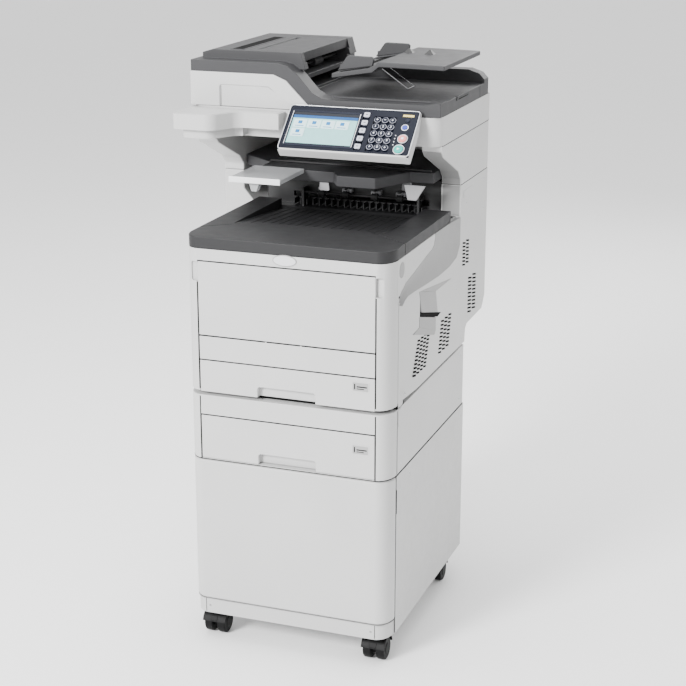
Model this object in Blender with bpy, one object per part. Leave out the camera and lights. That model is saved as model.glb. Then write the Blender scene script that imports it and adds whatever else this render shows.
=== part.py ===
"""A tall office copier: colour engine, second paper tray, wheeled cabinet, scanner with feeder.

Metres, +Z up, the front faces -Y. Shapes are laid out about the middle of the base, with y = 0 on the
drawer fronts and z = 0 on the floor. The root empty then centres the whole box on the origin.
"""

import math

import bmesh
import bpy
from mathutils import Matrix, Vector

GAP = 0.0005  # between neighbouring pieces

# Overall box
LEFT, RIGHT = -0.331, 0.2322
BACK = 0.6736
TOP = 1.235

# Base unit, seen from above: a flat front between two rounded corners
HALF = 0.2245
FLAT_HALF = 0.1923
CORNER_DEPTH = 0.046
SIDE_FRONT = CORNER_DEPTH + GAP
BASE_BACK = 0.508

# Heights
FLOOR_PANEL = 0.062
PLINTH_TOP = 0.0965
CABINET_TOP = 0.419
TRAY2_TOP = 0.5628
ENGINE_BOTTOM = 0.5765
POST_BOTTOM = 0.5722
CAP_BOTTOM = 0.8765
CAP_TOP = 0.900
COLUMN_SEAM = 0.9470
SCANNER_BOTTOM = 1.0583
SCANNER_TOP = 1.1188
LID_BOTTOM = 1.1194

# Cabinet
PANEL = 0.018
CABINET_BACK = 0.538

# Columns that carry the scanner
COLUMN_FRONT = 0.4553
COLUMN_INNER_RIGHT = 0.187
COLUMN_INNER_LEFT = -0.283
SCANNER_FRONT = 0.288
SCANNER_CORNER = 0.028

# Casters
CASTER_X, CASTER_FRONT_Y, CASTER_BACK_Y = 0.1835, 0.062, 0.478
CASTER_TRAIL = 0.017
WHEEL_RADIUS = 0.025

# Control panel: its face is turned up by this angle, and laid out in its own plane
PANEL_TILT = math.radians(42.8)
PANEL_CENTRE = (0.0497, 0.2365, 1.0927)
PANEL_HALF_WIDTH, PANEL_HALF_HEIGHT = 0.1433, 0.058
PANEL_PIVOT = (0.0497, 0.2675, 1.083)

for old in list(bpy.data.objects):
    bpy.data.objects.remove(old)

root = bpy.data.objects.new("copier_root", None)
root.location = (-(LEFT + RIGHT) / 2, -BACK / 2, 0)
bpy.context.scene.collection.objects.link(root)


# Finishes

def finish(name, colour, roughness, metallic=0.0):
    made = bpy.data.materials.new(name)
    made.use_nodes = True
    shader = made.node_tree.nodes["Principled BSDF"]
    shader.inputs["Base Color"].default_value = (*colour, 1)
    shader.inputs["Roughness"].default_value = roughness
    shader.inputs["Metallic"].default_value = metallic
    return made


WHITE = ("white_plastic", (0.78, 0.78, 0.77), 0.5)
GREY = ("grey_plastic", (0.36, 0.36, 0.37), 0.5)
DARK = ("charcoal_plastic", (0.055, 0.055, 0.058), 0.5)
BLACK = ("black_plastic", (0.02, 0.02, 0.02), 0.45)
NAVY = ("navy_panel", (0.02, 0.025, 0.05), 0.25)
RUBBER = ("black_rubber", (0.03, 0.03, 0.03), 0.8)
STEEL = ("bright_steel", (0.6, 0.6, 0.6), 0.3, 1.0)
ENAMEL = ("white_enamel", (0.75, 0.75, 0.74), 0.4)
CLEAR = ("smoked_clear", (0.45, 0.47, 0.48), 0.1)
GLASS = ("glass", (0.7, 0.76, 0.75), 0.05)
SCREEN = ("screen_glass", (0.5, 0.68, 0.7), 0.15)
KEY = ("key_grey", (0.5, 0.51, 0.55), 0.5)
TEAL = ("start_teal", (0.05, 0.5, 0.45), 0.4)
PINK = ("stop_pink", (0.85, 0.35, 0.35), 0.4)


# Solids: each is (points, faces), closed

AXES = {"x": (1, 2, 0), "y": (0, 2, 1), "z": (0, 1, 2)}


def extruded(outline, axis, low, high):
    """The outline is in the plane across the axis: (y, z), (x, z) or (x, y)."""
    first, second, along = AXES[axis]
    points = []
    for level in (low, high):
        for corner in outline:
            point = [0.0, 0.0, 0.0]
            point[first], point[second], point[along] = corner[0], corner[1], level
            points.append(tuple(point))
    count = len(outline)
    faces = [tuple(range(count)), tuple(range(2 * count - 1, count - 1, -1))]
    for i in range(count):
        j = (i + 1) % count
        faces.append((i, i + count, j + count, j))
    return points, faces


def slab(x, y, z):
    return extruded([(x[0], y[0]), (x[1], y[0]), (x[1], y[1]), (x[0], y[1])], "z", *z)


def turned(profile, axis, centre, sides=20):
    """The profile is a list of (distance along the axis, radius)."""
    first, second, along = AXES[axis]
    points = []
    for distance, radius in profile:
        for k in range(sides):
            angle = 2 * math.pi * k / sides
            point = list(centre)
            point[first] += radius * math.cos(angle)
            point[second] += radius * math.sin(angle)
            point[along] += distance
            points.append(tuple(point))
    rows = len(profile)
    faces = [tuple(range(sides)), tuple(range(rows * sides - 1, (rows - 1) * sides - 1, -1))]
    for row in range(rows - 1):
        for k in range(sides):
            j = (k + 1) % sides
            low, high = row * sides, (row + 1) * sides
            faces.append((low + k, high + k, high + j, low + j))
    return points, faces


def rod(axis, centre, radius, low, high, sides=16):
    return turned([(low, radius), (high, radius)], axis, centre, sides)


def placed(solid, matrix):
    points, faces = solid
    return [tuple(matrix @ Vector(point)) for point in points], faces


def rounded(corners, steps=4):
    """An outline from (u, v, radius) corners, each turned by an arc of that radius."""
    outline = []
    count = len(corners)
    for i, (u, v, radius) in enumerate(corners):
        here = Vector((u, v))
        if radius <= 0:
            outline.append((u, v))
            continue
        before = (Vector(corners[i - 1][:2]) - here).normalized()
        after = (Vector(corners[(i + 1) % count][:2]) - here).normalized()
        half = before.angle(after) / 2
        start = here + before * radius / math.tan(half)
        middle = here + (before + after).normalized() * radius / math.sin(half)
        spoke = start - middle
        end = here + after * radius / math.tan(half)
        sweep = spoke.angle_signed(end - middle)
        for k in range(steps + 1):
            turn = Matrix.Rotation(-sweep * k / steps, 2)
            outline.append(tuple(middle + turn @ spoke))
    return outline


def bowed_front(inset=0.0, back=CORNER_DEPTH, steps=6):
    """The base's front as seen from above, left to right: quarter ellipses at both corners."""
    across = HALF - FLAT_HALF - inset * 0.2
    deep = CORNER_DEPTH - inset
    half = HALF - inset
    right = []
    for k in range(steps + 1):
        angle = math.pi / 2 * k / steps
        right.append((half - across + across * math.sin(angle), inset + deep * (1 - math.cos(angle))))
    if back > CORNER_DEPTH:
        right.append((half, back))
    return [(-x, y) for x, y in reversed(right)] + right


def bowed_shell(thickness, inset=0.0):
    """A bent skin around the base's front, open at the back."""
    return bowed_front(inset) + list(reversed(bowed_front(inset + thickness)))


def mirrored(solid):
    points, faces = solid
    return [(-x, y, z) for x, y, z in points], [tuple(reversed(face)) for face in faces]


# Objects

def mesh_of(name, solids):
    work = bmesh.new()
    for points, faces in solids:
        made = [work.verts.new(point) for point in points]
        for face in faces:
            work.faces.new([made[i] for i in face])
    bmesh.ops.recalc_face_normals(work, faces=work.faces)
    mesh = bpy.data.meshes.new(name)
    work.to_mesh(mesh)
    work.free()
    mesh.shade_smooth()
    mesh.set_sharp_from_angle(angle=math.radians(35))
    return mesh


def shifted(solids, pivot):
    return [placed(solid, Matrix.Translation(-Vector(pivot))) for solid in solids]


def operand(piece, kind, order, solids):
    """A hidden solid that is added to the piece or cut from it."""
    name = f"{piece.name}_{kind.lower()}_{order}"
    helper = bpy.data.objects.new(name, mesh_of(name, solids))
    helper.parent = piece
    helper.hide_render = True
    helper.display_type = "WIRE"
    bpy.context.scene.collection.objects.link(helper)
    change = piece.modifiers.new(name, "BOOLEAN")
    change.operation = kind
    change.solver = "EXACT"
    change.object = helper


def make(name, look, body, add=(), cut=(), pivot=(0, 0, 0), parent=None):
    """One piece. add and cut list solids, each a Boolean of its own, or groups of separate solids."""
    piece = bpy.data.objects.new(name, mesh_of(name, shifted([body], pivot)))
    holder = parent or root
    piece.parent = holder
    piece.location = Vector(pivot) - (Vector(parent["pivot"]) if parent else Vector())
    piece["pivot"] = pivot
    bpy.context.scene.collection.objects.link(piece)
    piece.data.materials.append(bpy.data.materials.get(look[0]) or finish(*look))
    for kind, groups in (("UNION", add), ("DIFFERENCE", cut)):
        for order, group in enumerate(groups):
            solids = group if isinstance(group, list) else [group]
            operand(piece, kind, order, shifted(solids, pivot))
    return piece


# Casters

def caster(side, end, x, y):
    name = f"caster_{end}_{side}"
    wheel_y = y - CASTER_TRAIL
    centre = (x, wheel_y, WHEEL_RADIUS)
    outer, inner = WHEEL_RADIUS + 0.0045, WHEEL_RADIUS + 0.0015
    hood = []
    for radius, turn in ((outer, 1), (inner, -1)):
        for k in range(9)[::turn]:
            angle = math.radians(15 + 150 * k / 8)
            hood.append((wheel_y + radius * math.cos(angle), WHEEL_RADIUS + radius * math.sin(angle)))
    web = [(wheel_y - 0.010, 0.016), (wheel_y + 0.008, 0.016), (y + 0.010, 0.045),
           (y + 0.010, 0.056), (y - 0.010, 0.056), (wheel_y - 0.010, 0.050)]
    fork = make(
        f"{name}_fork", BLACK, rod("z", (x, y, 0), 0.0125, 0.0525, FLOOR_PANEL - GAP, 20),
        add=[extruded(web, "x", x - 0.004, x + 0.004), extruded(hood, "x", x - 0.0262, x + 0.0262)],
        cut=[rod("x", centre, 0.0036, -0.01, 0.01)], pivot=(x, y, FLOOR_PANEL - GAP))
    profile = [(0.0240, 0.019), (0.0240, 0.023), (0.0220, WHEEL_RADIUS), (0.0075, WHEEL_RADIUS),
               (0.0055, 0.023), (0.0055, 0.003)]
    both = [(-d, r) for d, r in profile] + list(reversed(profile))
    make(f"{name}_wheels", RUBBER, turned(both, "x", centre, 24), pivot=centre, parent=fork)


for side, x in (("left", -CASTER_X), ("right", CASTER_X)):
    caster(side, "front", x, CASTER_FRONT_Y)
    caster(side, "rear", x, CASTER_BACK_Y)


# Cabinet

INNER = HALF - PANEL - GAP  # the floor, top and back lie between the sides

make("cabinet_floor", ENAMEL, slab((-INNER, INNER), (0.030, 0.525), (FLOOR_PANEL, 0.080)),
     add=[extruded(bowed_shell(0.016, 0.003), "z", FLOOR_PANEL, PLINTH_TOP - GAP)])
make("cabinet_top", ENAMEL, slab((-INNER, INNER), (SIDE_FRONT, CABINET_BACK - 0.001),
                                 (CABINET_TOP - PANEL, CABINET_TOP)))
make("cabinet_back", ENAMEL, slab((-INNER, INNER), (0.5255, CABINET_BACK - 0.001),
                                  (FLOOR_PANEL, CABINET_TOP - PANEL - GAP)))
for side, sign in (("left", -1), ("right", 1)):
    ends = sorted((sign * (HALF - PANEL), sign * HALF))
    make(f"cabinet_side_{side}", ENAMEL, slab(ends, (SIDE_FRONT, CABINET_BACK),
                                              (FLOOR_PANEL, CABINET_TOP)))
make("cabinet_door", WHITE, extruded(bowed_shell(PANEL), "z", PLINTH_TOP + GAP, CABINET_TOP - GAP),
     pivot=(-HALF + 0.001, 0.0445, PLINTH_TOP + GAP))


# Paper trays: the same drawer serves the engine and the second tray

DRAWER_HALF = 0.186
DRAWER_BACK = 0.485
FRONT_THICK = 0.018
HANDLE_HALF = 0.0635
LIFT_HINGE_Y = 0.300
ROLLER_Y = 0.085


def drawer(name, low, high):
    wall, floor = 0.003, 0.003
    tray_low, tray_top = low + 0.0006, high - 0.0035
    body = make(
        f"{name}_tray", WHITE, slab((-DRAWER_HALF, DRAWER_HALF), (FRONT_THICK + GAP, DRAWER_BACK),
                                    (tray_low, tray_top)),
        cut=[slab((-DRAWER_HALF + wall, DRAWER_HALF - wall),
                  (FRONT_THICK + GAP + wall, DRAWER_BACK - wall), (tray_low + floor, tray_top + 0.01))],
        pivot=(0, 0, low))
    grip = [(-HANDLE_HALF, low - 0.01, 0), (HANDLE_HALF, low - 0.01, 0),
            (HANDLE_HALF, low + 0.023, 0.006), (-HANDLE_HALF, low + 0.023, 0.006)]
    make(f"{name}_front", WHITE, slab((-FLAT_HALF + GAP, FLAT_HALF - GAP), (0, FRONT_THICK), (low, high)),
         cut=[extruded(rounded(grip), "y", -0.01, FRONT_THICK - 0.004)], pivot=(0, 0, low), parent=body)
    plate_z = tray_low + floor + 0.0025
    make(f"{name}_lift_plate", STEEL,
         slab((-0.150, 0.150), (0.060, LIFT_HINGE_Y + 0.004), (plate_z - 0.001, plate_z + 0.001)),
         pivot=(0, LIFT_HINGE_Y, plate_z), parent=body)


def feed_roller(name, z, radius):
    profile = [(-0.060, 0.004), (-0.022, 0.004), (-0.022, radius), (0.022, radius),
               (0.022, 0.004), (0.060, 0.004)]
    make(f"{name}_feed_roller", RUBBER, turned(profile, "x", (0, ROLLER_Y, z), 20),
         pivot=(0, ROLLER_Y, z))


BRACKET_X, BRACKET_HALF, BRACKET_DEPTH = 0.054, 0.004, 0.012


def shaft_holes(z):
    """Holes for a feed roller's shaft, one in each bracket."""
    return [rod("x", (x, ROLLER_Y, z), 0.0046, -0.006, 0.006) for x in (-BRACKET_X, BRACKET_X)]


def bracket_tabs(low, high):
    return [slab((x - BRACKET_HALF, x + BRACKET_HALF),
                 (ROLLER_Y - BRACKET_DEPTH, ROLLER_Y + BRACKET_DEPTH), (low, high))
            for x in (-BRACKET_X, BRACKET_X)]


TRAY1_LOW, TRAY1_HIGH = 0.5702, 0.6388
TRAY2_LOW, TRAY2_HIGH = 0.4232, 0.5182
drawer("drawer_1", TRAY1_LOW, TRAY1_HIGH)
drawer("drawer_2", TRAY2_LOW, TRAY2_HIGH)

TRAY2_ROLLER_Z = 0.5345
feed_roller("tray_2", TRAY2_ROLLER_Z, 0.013)
HOUSING_BACK = 0.530
HOUSING_CEILING = 0.552
low_space = (TRAY2_LOW - GAP, TRAY2_ROLLER_Z - 0.011)
high_space = (low_space[1] - 0.0002, HOUSING_CEILING)
inside = (0.055, 0.515)
tab_out, tab_in = BRACKET_X + BRACKET_HALF, BRACKET_X - BRACKET_HALF
tab_front, tab_back = ROLLER_Y - BRACKET_DEPTH, ROLLER_Y + BRACKET_DEPTH
# The space above the drawer is cut in pieces, so that the roller's two brackets stay.
make("tray_2_housing", WHITE,
     extruded(bowed_front(back=HOUSING_BACK), "z", CABINET_TOP + GAP, TRAY2_TOP),
     cut=[slab((-FLAT_HALF, FLAT_HALF), (-0.01, 0.07), (TRAY2_LOW - GAP, TRAY2_HIGH + GAP)),
          slab((-0.214, 0.214), inside, low_space),
          [slab((-0.214, -tab_out), inside, high_space), slab((tab_out, 0.214), inside, high_space)],
          slab((-tab_out - 0.0001, tab_out + 0.0001), (tab_back, inside[1]), high_space),
          slab((-tab_out - 0.0001, tab_out + 0.0001), (inside[0], tab_front), high_space),
          slab((-tab_in, tab_in), (tab_front - 0.001, tab_back + 0.001), high_space),
          shaft_holes(TRAY2_ROLLER_Z)])


# Engine

WALL_IN, WALL_OUT = 0.2065, 0.2145
DECK_Z = 0.664
TRAY1_ROLLER_Z = 0.6485
feed_roller("tray_1", TRAY1_ROLLER_Z, 0.010)
walls = [slab(sorted((sign * WALL_IN, sign * WALL_OUT)), (0.090, 0.500), (0.578, 0.862))
         for sign in (-1, 1)]
make("engine_frame", STEEL, slab((-0.2100, 0.2100), (0.070, 0.498), (DECK_Z, DECK_Z + 0.008)),
     add=[slab((-0.1750, 0.1750), (FRONT_THICK, 0.075), (DECK_Z + 0.001, DECK_Z + 0.007)), walls, slab((-0.2100, 0.2100), (0.488, 0.500), (0.650, 0.862)),
          bracket_tabs(TRAY1_ROLLER_Z - 0.008, DECK_Z + 0.002)],
     cut=[shaft_holes(TRAY1_ROLLER_Z)])
make("lower_front_strip", WHITE, slab((-FLAT_HALF + GAP, FLAT_HALF - GAP), (0, 0.016),
                                      (TRAY1_HIGH + GAP, 0.6915)))
make("transfer_belt_unit", BLACK, extruded(rounded(
    [(0.090, 0.676, 0.010), (0.405, 0.676, 0.010), (0.405, 0.700, 0.010), (0.090, 0.700, 0.010)]),
    "x", -0.175, 0.175))
make("fuser_unit", GREY, extruded(rounded(
    [(0.412, 0.700, 0.004), (0.482, 0.700, 0.004), (0.482, 0.785, 0.020), (0.412, 0.785, 0.020)]),
    "x", -0.185, 0.185))
for order, colour in enumerate(("yellow", "magenta", "cyan", "black")):
    y = 0.100 + 0.078 * order
    make(f"toner_drum_{colour}", BLACK, extruded(rounded(
        [(y, 0.705, 0.015), (y + 0.068, 0.705, 0.015), (y + 0.068, 0.820, 0.024), (y, 0.820, 0.024)]),
        "x", -0.190, 0.190))


def side_skin():
    """Side cover as seen from the right: (y, z), with the sloping foot of the column."""
    return [(SIDE_FRONT, ENGINE_BOTTOM), (BASE_BACK, ENGINE_BOTTOM), (0.512, 0.606), (0.525, 0.615),
            (0.650, 0.618), (BACK, 0.645), (BACK, 0.8755), (0.088, 0.8755), (0.088, 0.800),
            (SIDE_FRONT, 0.795)]


SWOOSH = [(SIDE_FRONT, 0.787), (0.090, 0.7935), (0.200, 0.788), (0.300, 0.7830), (0.375, 0.7840),
          (0.430, 0.7920), (COLUMN_FRONT, 0.815)]
SKIN_IN = 0.2152


def side_outer(top):
    return ([(SIDE_FRONT, ENGINE_BOTTOM), (BASE_BACK, ENGINE_BOTTOM), (0.512, 0.606), (0.525, 0.615),
             (0.650, 0.618), (BACK, 0.645), (BACK, top)]
            + ([(COLUMN_FRONT, top)] if top > SWOOSH[-1][1] else [])
            + list(reversed(SWOOSH)))


GRIP = rounded([(0.165, 0.700, 0), (0.275, 0.660, 0), (0.275, 0.735, 0), (0.300, 0.757, 0),
                (0.165, 0.780, 0)])
taper = [(HALF + 0.0001, 0.030), (0.240, 0.030), (0.240, 0.150), (RIGHT, 0.150)]
make("side_cover_right", WHITE, extruded(side_skin(), "x", SKIN_IN, HALF),
     add=[extruded(side_outer(COLUMN_SEAM), "x", HALF - 0.003, RIGHT),
          slab((COLUMN_INNER_RIGHT, HALF), (COLUMN_FRONT, BACK), (0.8770, COLUMN_SEAM))],
     cut=[extruded(taper, "z", 0.5, 1.0), extruded(GRIP, "x", 0.2210, 0.240)])
make("side_cover_left", WHITE, mirrored(extruded(side_skin(), "x", SKIN_IN, HALF)),
     add=[mirrored(extruded(side_outer(0.8755), "x", HALF - 0.003, RIGHT))],
     cut=[mirrored(extruded(taper, "z", 0.5, 1.0))])


# Columns and the back

def column_head():
    """Upper column from the side: it leans forward under the scanner."""
    return [(BACK, COLUMN_SEAM + GAP), (BACK, SCANNER_BOTTOM - GAP), (0.304, SCANNER_BOTTOM - GAP),
            (0.307, 1.045), (0.320, 1.032), (0.436, 0.982), (COLUMN_FRONT, 0.962),
            (COLUMN_FRONT, COLUMN_SEAM + GAP)]


foot = [(LEFT, 0.710), (-0.300, 0.645), (-0.2330, 0.632), (-0.2330, 0.868), (-0.262, 0.880),
        (COLUMN_INNER_LEFT, 0.905), (COLUMN_INNER_LEFT, COLUMN_SEAM), (LEFT, COLUMN_SEAM)]
make("left_column_foot", WHITE, extruded(foot, "y", COLUMN_FRONT, BACK))
make("left_column", WHITE, extruded(column_head(), "x", LEFT, COLUMN_INNER_LEFT))
make("right_column", WHITE, extruded(column_head(), "x", COLUMN_INNER_RIGHT, RIGHT))
back_wall = [(-0.2147, 0.6200), (0.2147, 0.6200), (0.2147, 0.8760), (0.1865, 0.8760),
             (0.1865, SCANNER_BOTTOM - GAP), (-0.2825, SCANNER_BOTTOM - GAP), (-0.2825, 0.9080),
             (-0.2147, 0.8790)]
make("rear_cover", WHITE, extruded(back_wall, "y", 0.656, 0.6730),
     add=[slab((-0.2147, 0.2147), (0.5130, 0.660), (0.6200, 0.6280))],
     cut=[slab((-0.20, -0.16), (0.665, 0.69), (0.64, 0.67))])


# Front cover with the multipurpose tray in it

HINGE_Y, HINGE_Z = 0.012, 0.574
DOOR_LOW, DOOR_HIGH = 0.6930, 0.8492
SKIN = 0.012
returns = [slab(sorted((sign * (HALF - SKIN), sign * HALF)), (0.040, 0.0872), (0.8008, 0.8757))
           for sign in (-1, 1)]
hand_holds = [extruded(rounded([(x - 0.0085, 0.807, 0.005), (x + 0.0085, 0.807, 0.005),
                                (x + 0.0085, 0.8475, 0.005), (x - 0.0085, 0.8475, 0.005)]),
                       "y", -0.01, 0.009) for x in (-0.1990, 0.1990)]
front_cover = make(
    "front_cover", WHITE, extruded(bowed_shell(SKIN), "z", POST_BOTTOM, 0.8757), add=[returns],
    cut=[slab((-FLAT_HALF, FLAT_HALF), (-0.01, 0.03), (0.50, DOOR_HIGH + GAP)), hand_holds],
    pivot=(0, HINGE_Y, HINGE_Z))
cap_back = [(HALF, 0.085), (0.120, 0.163), (-0.120, 0.163), (-HALF, 0.085)]
make("front_cover_cap", DARK, extruded(bowed_front(back=0.086)[1:-1] + cap_back, "z", CAP_BOTTOM, CAP_TOP),
     pivot=(0, HINGE_Y, HINGE_Z), parent=front_cover)
make("bypass_tray_door", WHITE, slab((-FLAT_HALF + GAP, FLAT_HALF - GAP), (0, 0.014),
                                     (DOOR_LOW, DOOR_HIGH)), pivot=(0, 0.0035, 0.7035), parent=front_cover)


# Output tray on top of the engine

COVER_BACK = 0.405
rim = [(-HALF, 0.087), (-0.1195, 0.165), (0.1195, 0.165), (HALF, 0.087), (HALF, COVER_BACK),
       (-HALF, COVER_BACK)]
catch = [(0.130, 0.901), (0.150, 0.8985), (0.385, 0.8815), (0.396, 0.8850), (0.410, 0.8850), (0.410, 0.92),
         (0.130, 0.92)]
make("output_tray_cover", DARK, extruded(rim, "z", CAP_BOTTOM, CAP_TOP),
     cut=[extruded(catch, "x", -0.170, 0.165)], pivot=(0, 0.400, 0.880))

SHAFT_Y, SHAFT_Z = 0.435, 0.912
rollers = []
for x in (-0.085, -0.028, 0.040, 0.098):
    rollers += [(x - 0.007, 0.003), (x - 0.007, 0.0075), (x + 0.007, 0.0075), (x + 0.007, 0.003)]
make("exit_roller_shaft", STEEL, turned([(-0.135, 0.003)] + rollers + [(0.150, 0.003)], "x",
                                        (0, SHAFT_Y, SHAFT_Z), 14), pivot=(0, SHAFT_Y, SHAFT_Z))
exit_walls = [(0.412, 0.8770), (0.654, 0.8770), (0.654, 0.881), (0.468, 0.881), (0.468, 0.949),
              (0.654, 0.949), (0.654, 0.953), (0.455, 0.953), (0.455, 0.881), (0.412, 0.881)]
exit_tabs = [slab((x - 0.003, x + 0.003), (SHAFT_Y - 0.009, 0.4560), (0.879, SHAFT_Z + 0.009))
             for x in (-0.128, 0.143)]
make("paper_exit_unit", BLACK, extruded(exit_walls, "x", -0.2235, 0.1862), add=[exit_tabs],
     cut=[[rod("x", (x, SHAFT_Y, SHAFT_Z), 0.0036, -0.006, 0.006) for x in (-0.128, 0.143)],
          slab((-0.160, 0.160), (0.450, 0.480), (0.896, 0.908))])

deck = [(-0.195, 0.335), (-0.020, 0.335), (0.000, 0.300), (0.087, 0.300), (0.135, 0.395), (0.1862, 0.400),
        (0.1862, 0.655), (-0.2822, 0.655), (-0.2822, 0.470), (-0.195, 0.400)]
make("finisher_deck", DARK, extruded(deck, "z", 0.958, 0.982),
     add=[[slab((x - 0.010, x + 0.010), (y, y + 0.012), (0.948, 0.960))
           for x, y in ((-0.045, 0.345), (0.125, 0.402))]],
     cut=[slab((-0.2700, 0.1740), (0.470, 0.645), (0.950, 0.976))])
make("staple_tray", CLEAR, slab((-0.205, -0.088), (0.195, 0.3345), (0.975, 0.985)),
     add=[extruded([(-0.165, 0.976), (-0.158, 0.955), (-0.146, 0.955), (-0.139, 0.976)], "y", 0.205, 0.222)])


# Scanner

def plan_rounded(x, y, radius):
    return rounded([(x[0], y[0], radius), (x[1], y[0], radius), (x[1], y[1], 0), (x[0], y[1], 0)], 5)


shelf = rounded([(LEFT, 0.300, 0), (LEFT, 0.1835, 0.014), (-0.240, 0.1835, 0.030), (-0.205, 0.248, 0.030),
                 (-0.112, 0.248, 0), (-0.112, 0.300, 0)], 4)
lower_shelf = rounded([(-0.316, 0.310, 0), (-0.316, 0.200, 0.014), (-0.250, 0.200, 0.025),
                       (-0.212, 0.262, 0.020), (-0.200, 0.262, 0), (-0.200, 0.310, 0)], 3)
make("scanner_base", WHITE,
     extruded(plan_rounded((LEFT, RIGHT), (SCANNER_FRONT, BACK), SCANNER_CORNER), "z",
              SCANNER_BOTTOM, SCANNER_TOP),
     add=[extruded(shelf, "z", 1.082, 1.115), extruded(lower_shelf, "z", 1.062, 1.084),
          slab((0.0, 0.100), (0.2640, SCANNER_FRONT + 0.002), (1.0600, 1.0760))],
     cut=[slab((-0.315, 0.216), (0.304, 0.660), (1.0640, 1.1120)),
          slab((-0.2350, 0.2060), (0.328, 0.636), (1.1145, 1.13)),
          slab((-0.2300, 0.2010), (0.333, 0.631), (1.100, 1.13))])
make("platen_glass", GLASS, slab((-0.2345, 0.2055), (0.3285, 0.6355), (1.1150, 1.1184)))
make("scan_carriage", BLACK, slab((-0.305, -0.265), (0.315, 0.650), (1.078, 1.104)),
     cut=[slab((-0.290, -0.280), (0.330, 0.636), (1.098, 1.12))], pivot=(-0.285, 0.482, 1.078))


# Document lid and feeder

LID_HINGE = (0, 0.6620, LID_BOTTOM)
LID_BACK = 0.6600
lid_front = [(LEFT, LID_BOTTOM), (RIGHT, LID_BOTTOM), (RIGHT, 1.1490), (0.198, 1.1440), (-0.006, 1.1440),
             (-0.030, 1.1470), (-0.050, 1.1570), (-0.085, 1.1950), (-0.108, 1.2110), (-0.130, 1.2160),
             (LEFT, 1.2160)]
feeder_body = [(LEFT + 0.012, 1.200), (-0.080, 1.200), (-0.090, TOP), (LEFT + 0.035, TOP),
               (LEFT + 0.012, 1.228)]
rear_rail = [(-0.100, 1.140), (RIGHT, 1.140), (RIGHT, 1.155), (0.220, 1.168), (0.195, 1.176),
             (-0.100, 1.176)]
lid = make(
    "document_lid", DARK, extruded(lid_front, "y", SCANNER_FRONT, 0.335),
    add=[slab((LEFT, RIGHT), (0.330, LID_BACK), (LID_BOTTOM, 1.1470)),
         slab((LEFT, -0.088), (0.330, LID_BACK), (1.140, 1.2160)),
         extruded(feeder_body, "y", 0.325, LID_BACK - 0.010),
         extruded(rear_rail, "y", 0.625, LID_BACK)],
    cut=[slab((-0.2155, 0.02), (0.3395, 0.6125), (1.2137, 1.26)),
         slab((-0.2050, 0.02), (0.3450, 0.6070), (1.1860, 1.2150)),
         slab((-0.1800, 0.02), (0.3450, 0.6070), (1.1530, 1.1760))],
    pivot=LID_HINGE)
make("feeder_cover", DARK, slab((-0.2150, -0.0900), (0.3400, 0.6120), (1.2145, TOP)),
     cut=[slab((-0.205, -0.193), (0.360, 0.590), (1.2310, 1.25))],
     pivot=(-0.2145, 0.476, TOP - GAP), parent=lid)
roller = [(-0.125, 0.003), (-0.025, 0.003), (-0.025, 0.010), (0.025, 0.010), (0.025, 0.003), (0.125, 0.003)]
make("feeder_pickup_roller", RUBBER, turned(roller, "y", (-0.115, 0.476, 1.2000), 18),
     pivot=(-0.115, 0.476, 1.2000), parent=lid)

TRAY_HINGE = (-0.022, 0.490, 1.1880)
tray_side = [(-0.026, 1.1835), (0.066, 1.1990), (0.080, 1.2110), (0.2235, 1.2095), (0.2235, 1.2195),
             (0.078, 1.2215), (0.062, 1.2090), (-0.026, 1.1935)]
document_tray = make("document_tray", DARK, extruded(tray_side, "y", 0.338, 0.618),
                     pivot=TRAY_HINGE, parent=lid)
guide_side = [(-0.012, 1.1966), (0.054, 1.2083), (0.054, 1.2223), (-0.012, 1.2106)]
for end, y in (("front", 0.352), ("rear", 0.599)):
    make(f"document_guide_{end}", GREY, extruded(guide_side, "y", y, y + 0.005),
         pivot=(0.021, y, 1.2025), parent=document_tray)


# Control panel, drawn in its own plane and then tilted

TO_PANEL = Matrix.Translation(PANEL_CENTRE) @ Matrix.Rotation(PANEL_TILT, 4, "X")


def on_panel(x, y, z):
    return placed(slab(x, y, z), TO_PANEL)


def key(x, y, radius, low, high, sides=20):
    return placed(turned([(low, radius), (high, radius)], "z", (x, y, 0), sides), TO_PANEL)


housing_side = [(-0.058, -0.024), (0.016, -0.024), (0.058, -0.008), (0.058, 0.0), (-0.058, 0.0)]
POCKET = -0.006
START, STOP, NUMBERS, FUNCTIONS = (0.119, -0.041), (0.121, -0.014), (0.070, 0.008), (0.030, 0.002)
panel = make(
    "control_panel", NAVY,
    placed(extruded(housing_side, "x", -PANEL_HALF_WIDTH, PANEL_HALF_WIDTH), TO_PANEL),
    cut=[on_panel((-0.1310, 0.0150), (-0.0440, 0.0420), (POCKET, 0.01)),
         [key(*START, 0.0105, POCKET, 0.01), key(*STOP, 0.0095, POCKET, 0.01),
          on_panel((0.0225, 0.0375), (-0.0500, 0.0480), (POCKET, 0.01)),
          on_panel((0.0480, 0.0965), (-0.0500, 0.0400), (POCKET, 0.01))]],
    pivot=PANEL_PIVOT)
make("touch_screen", SCREEN, on_panel((-0.1305, 0.0145), (-0.0435, 0.0415), (POCKET + GAP, -0.0005)),
     pivot=PANEL_PIVOT, parent=panel)


def at_panel(x, y, z=0.0):
    return tuple(TO_PANEL @ Vector((x, y, z)))


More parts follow.
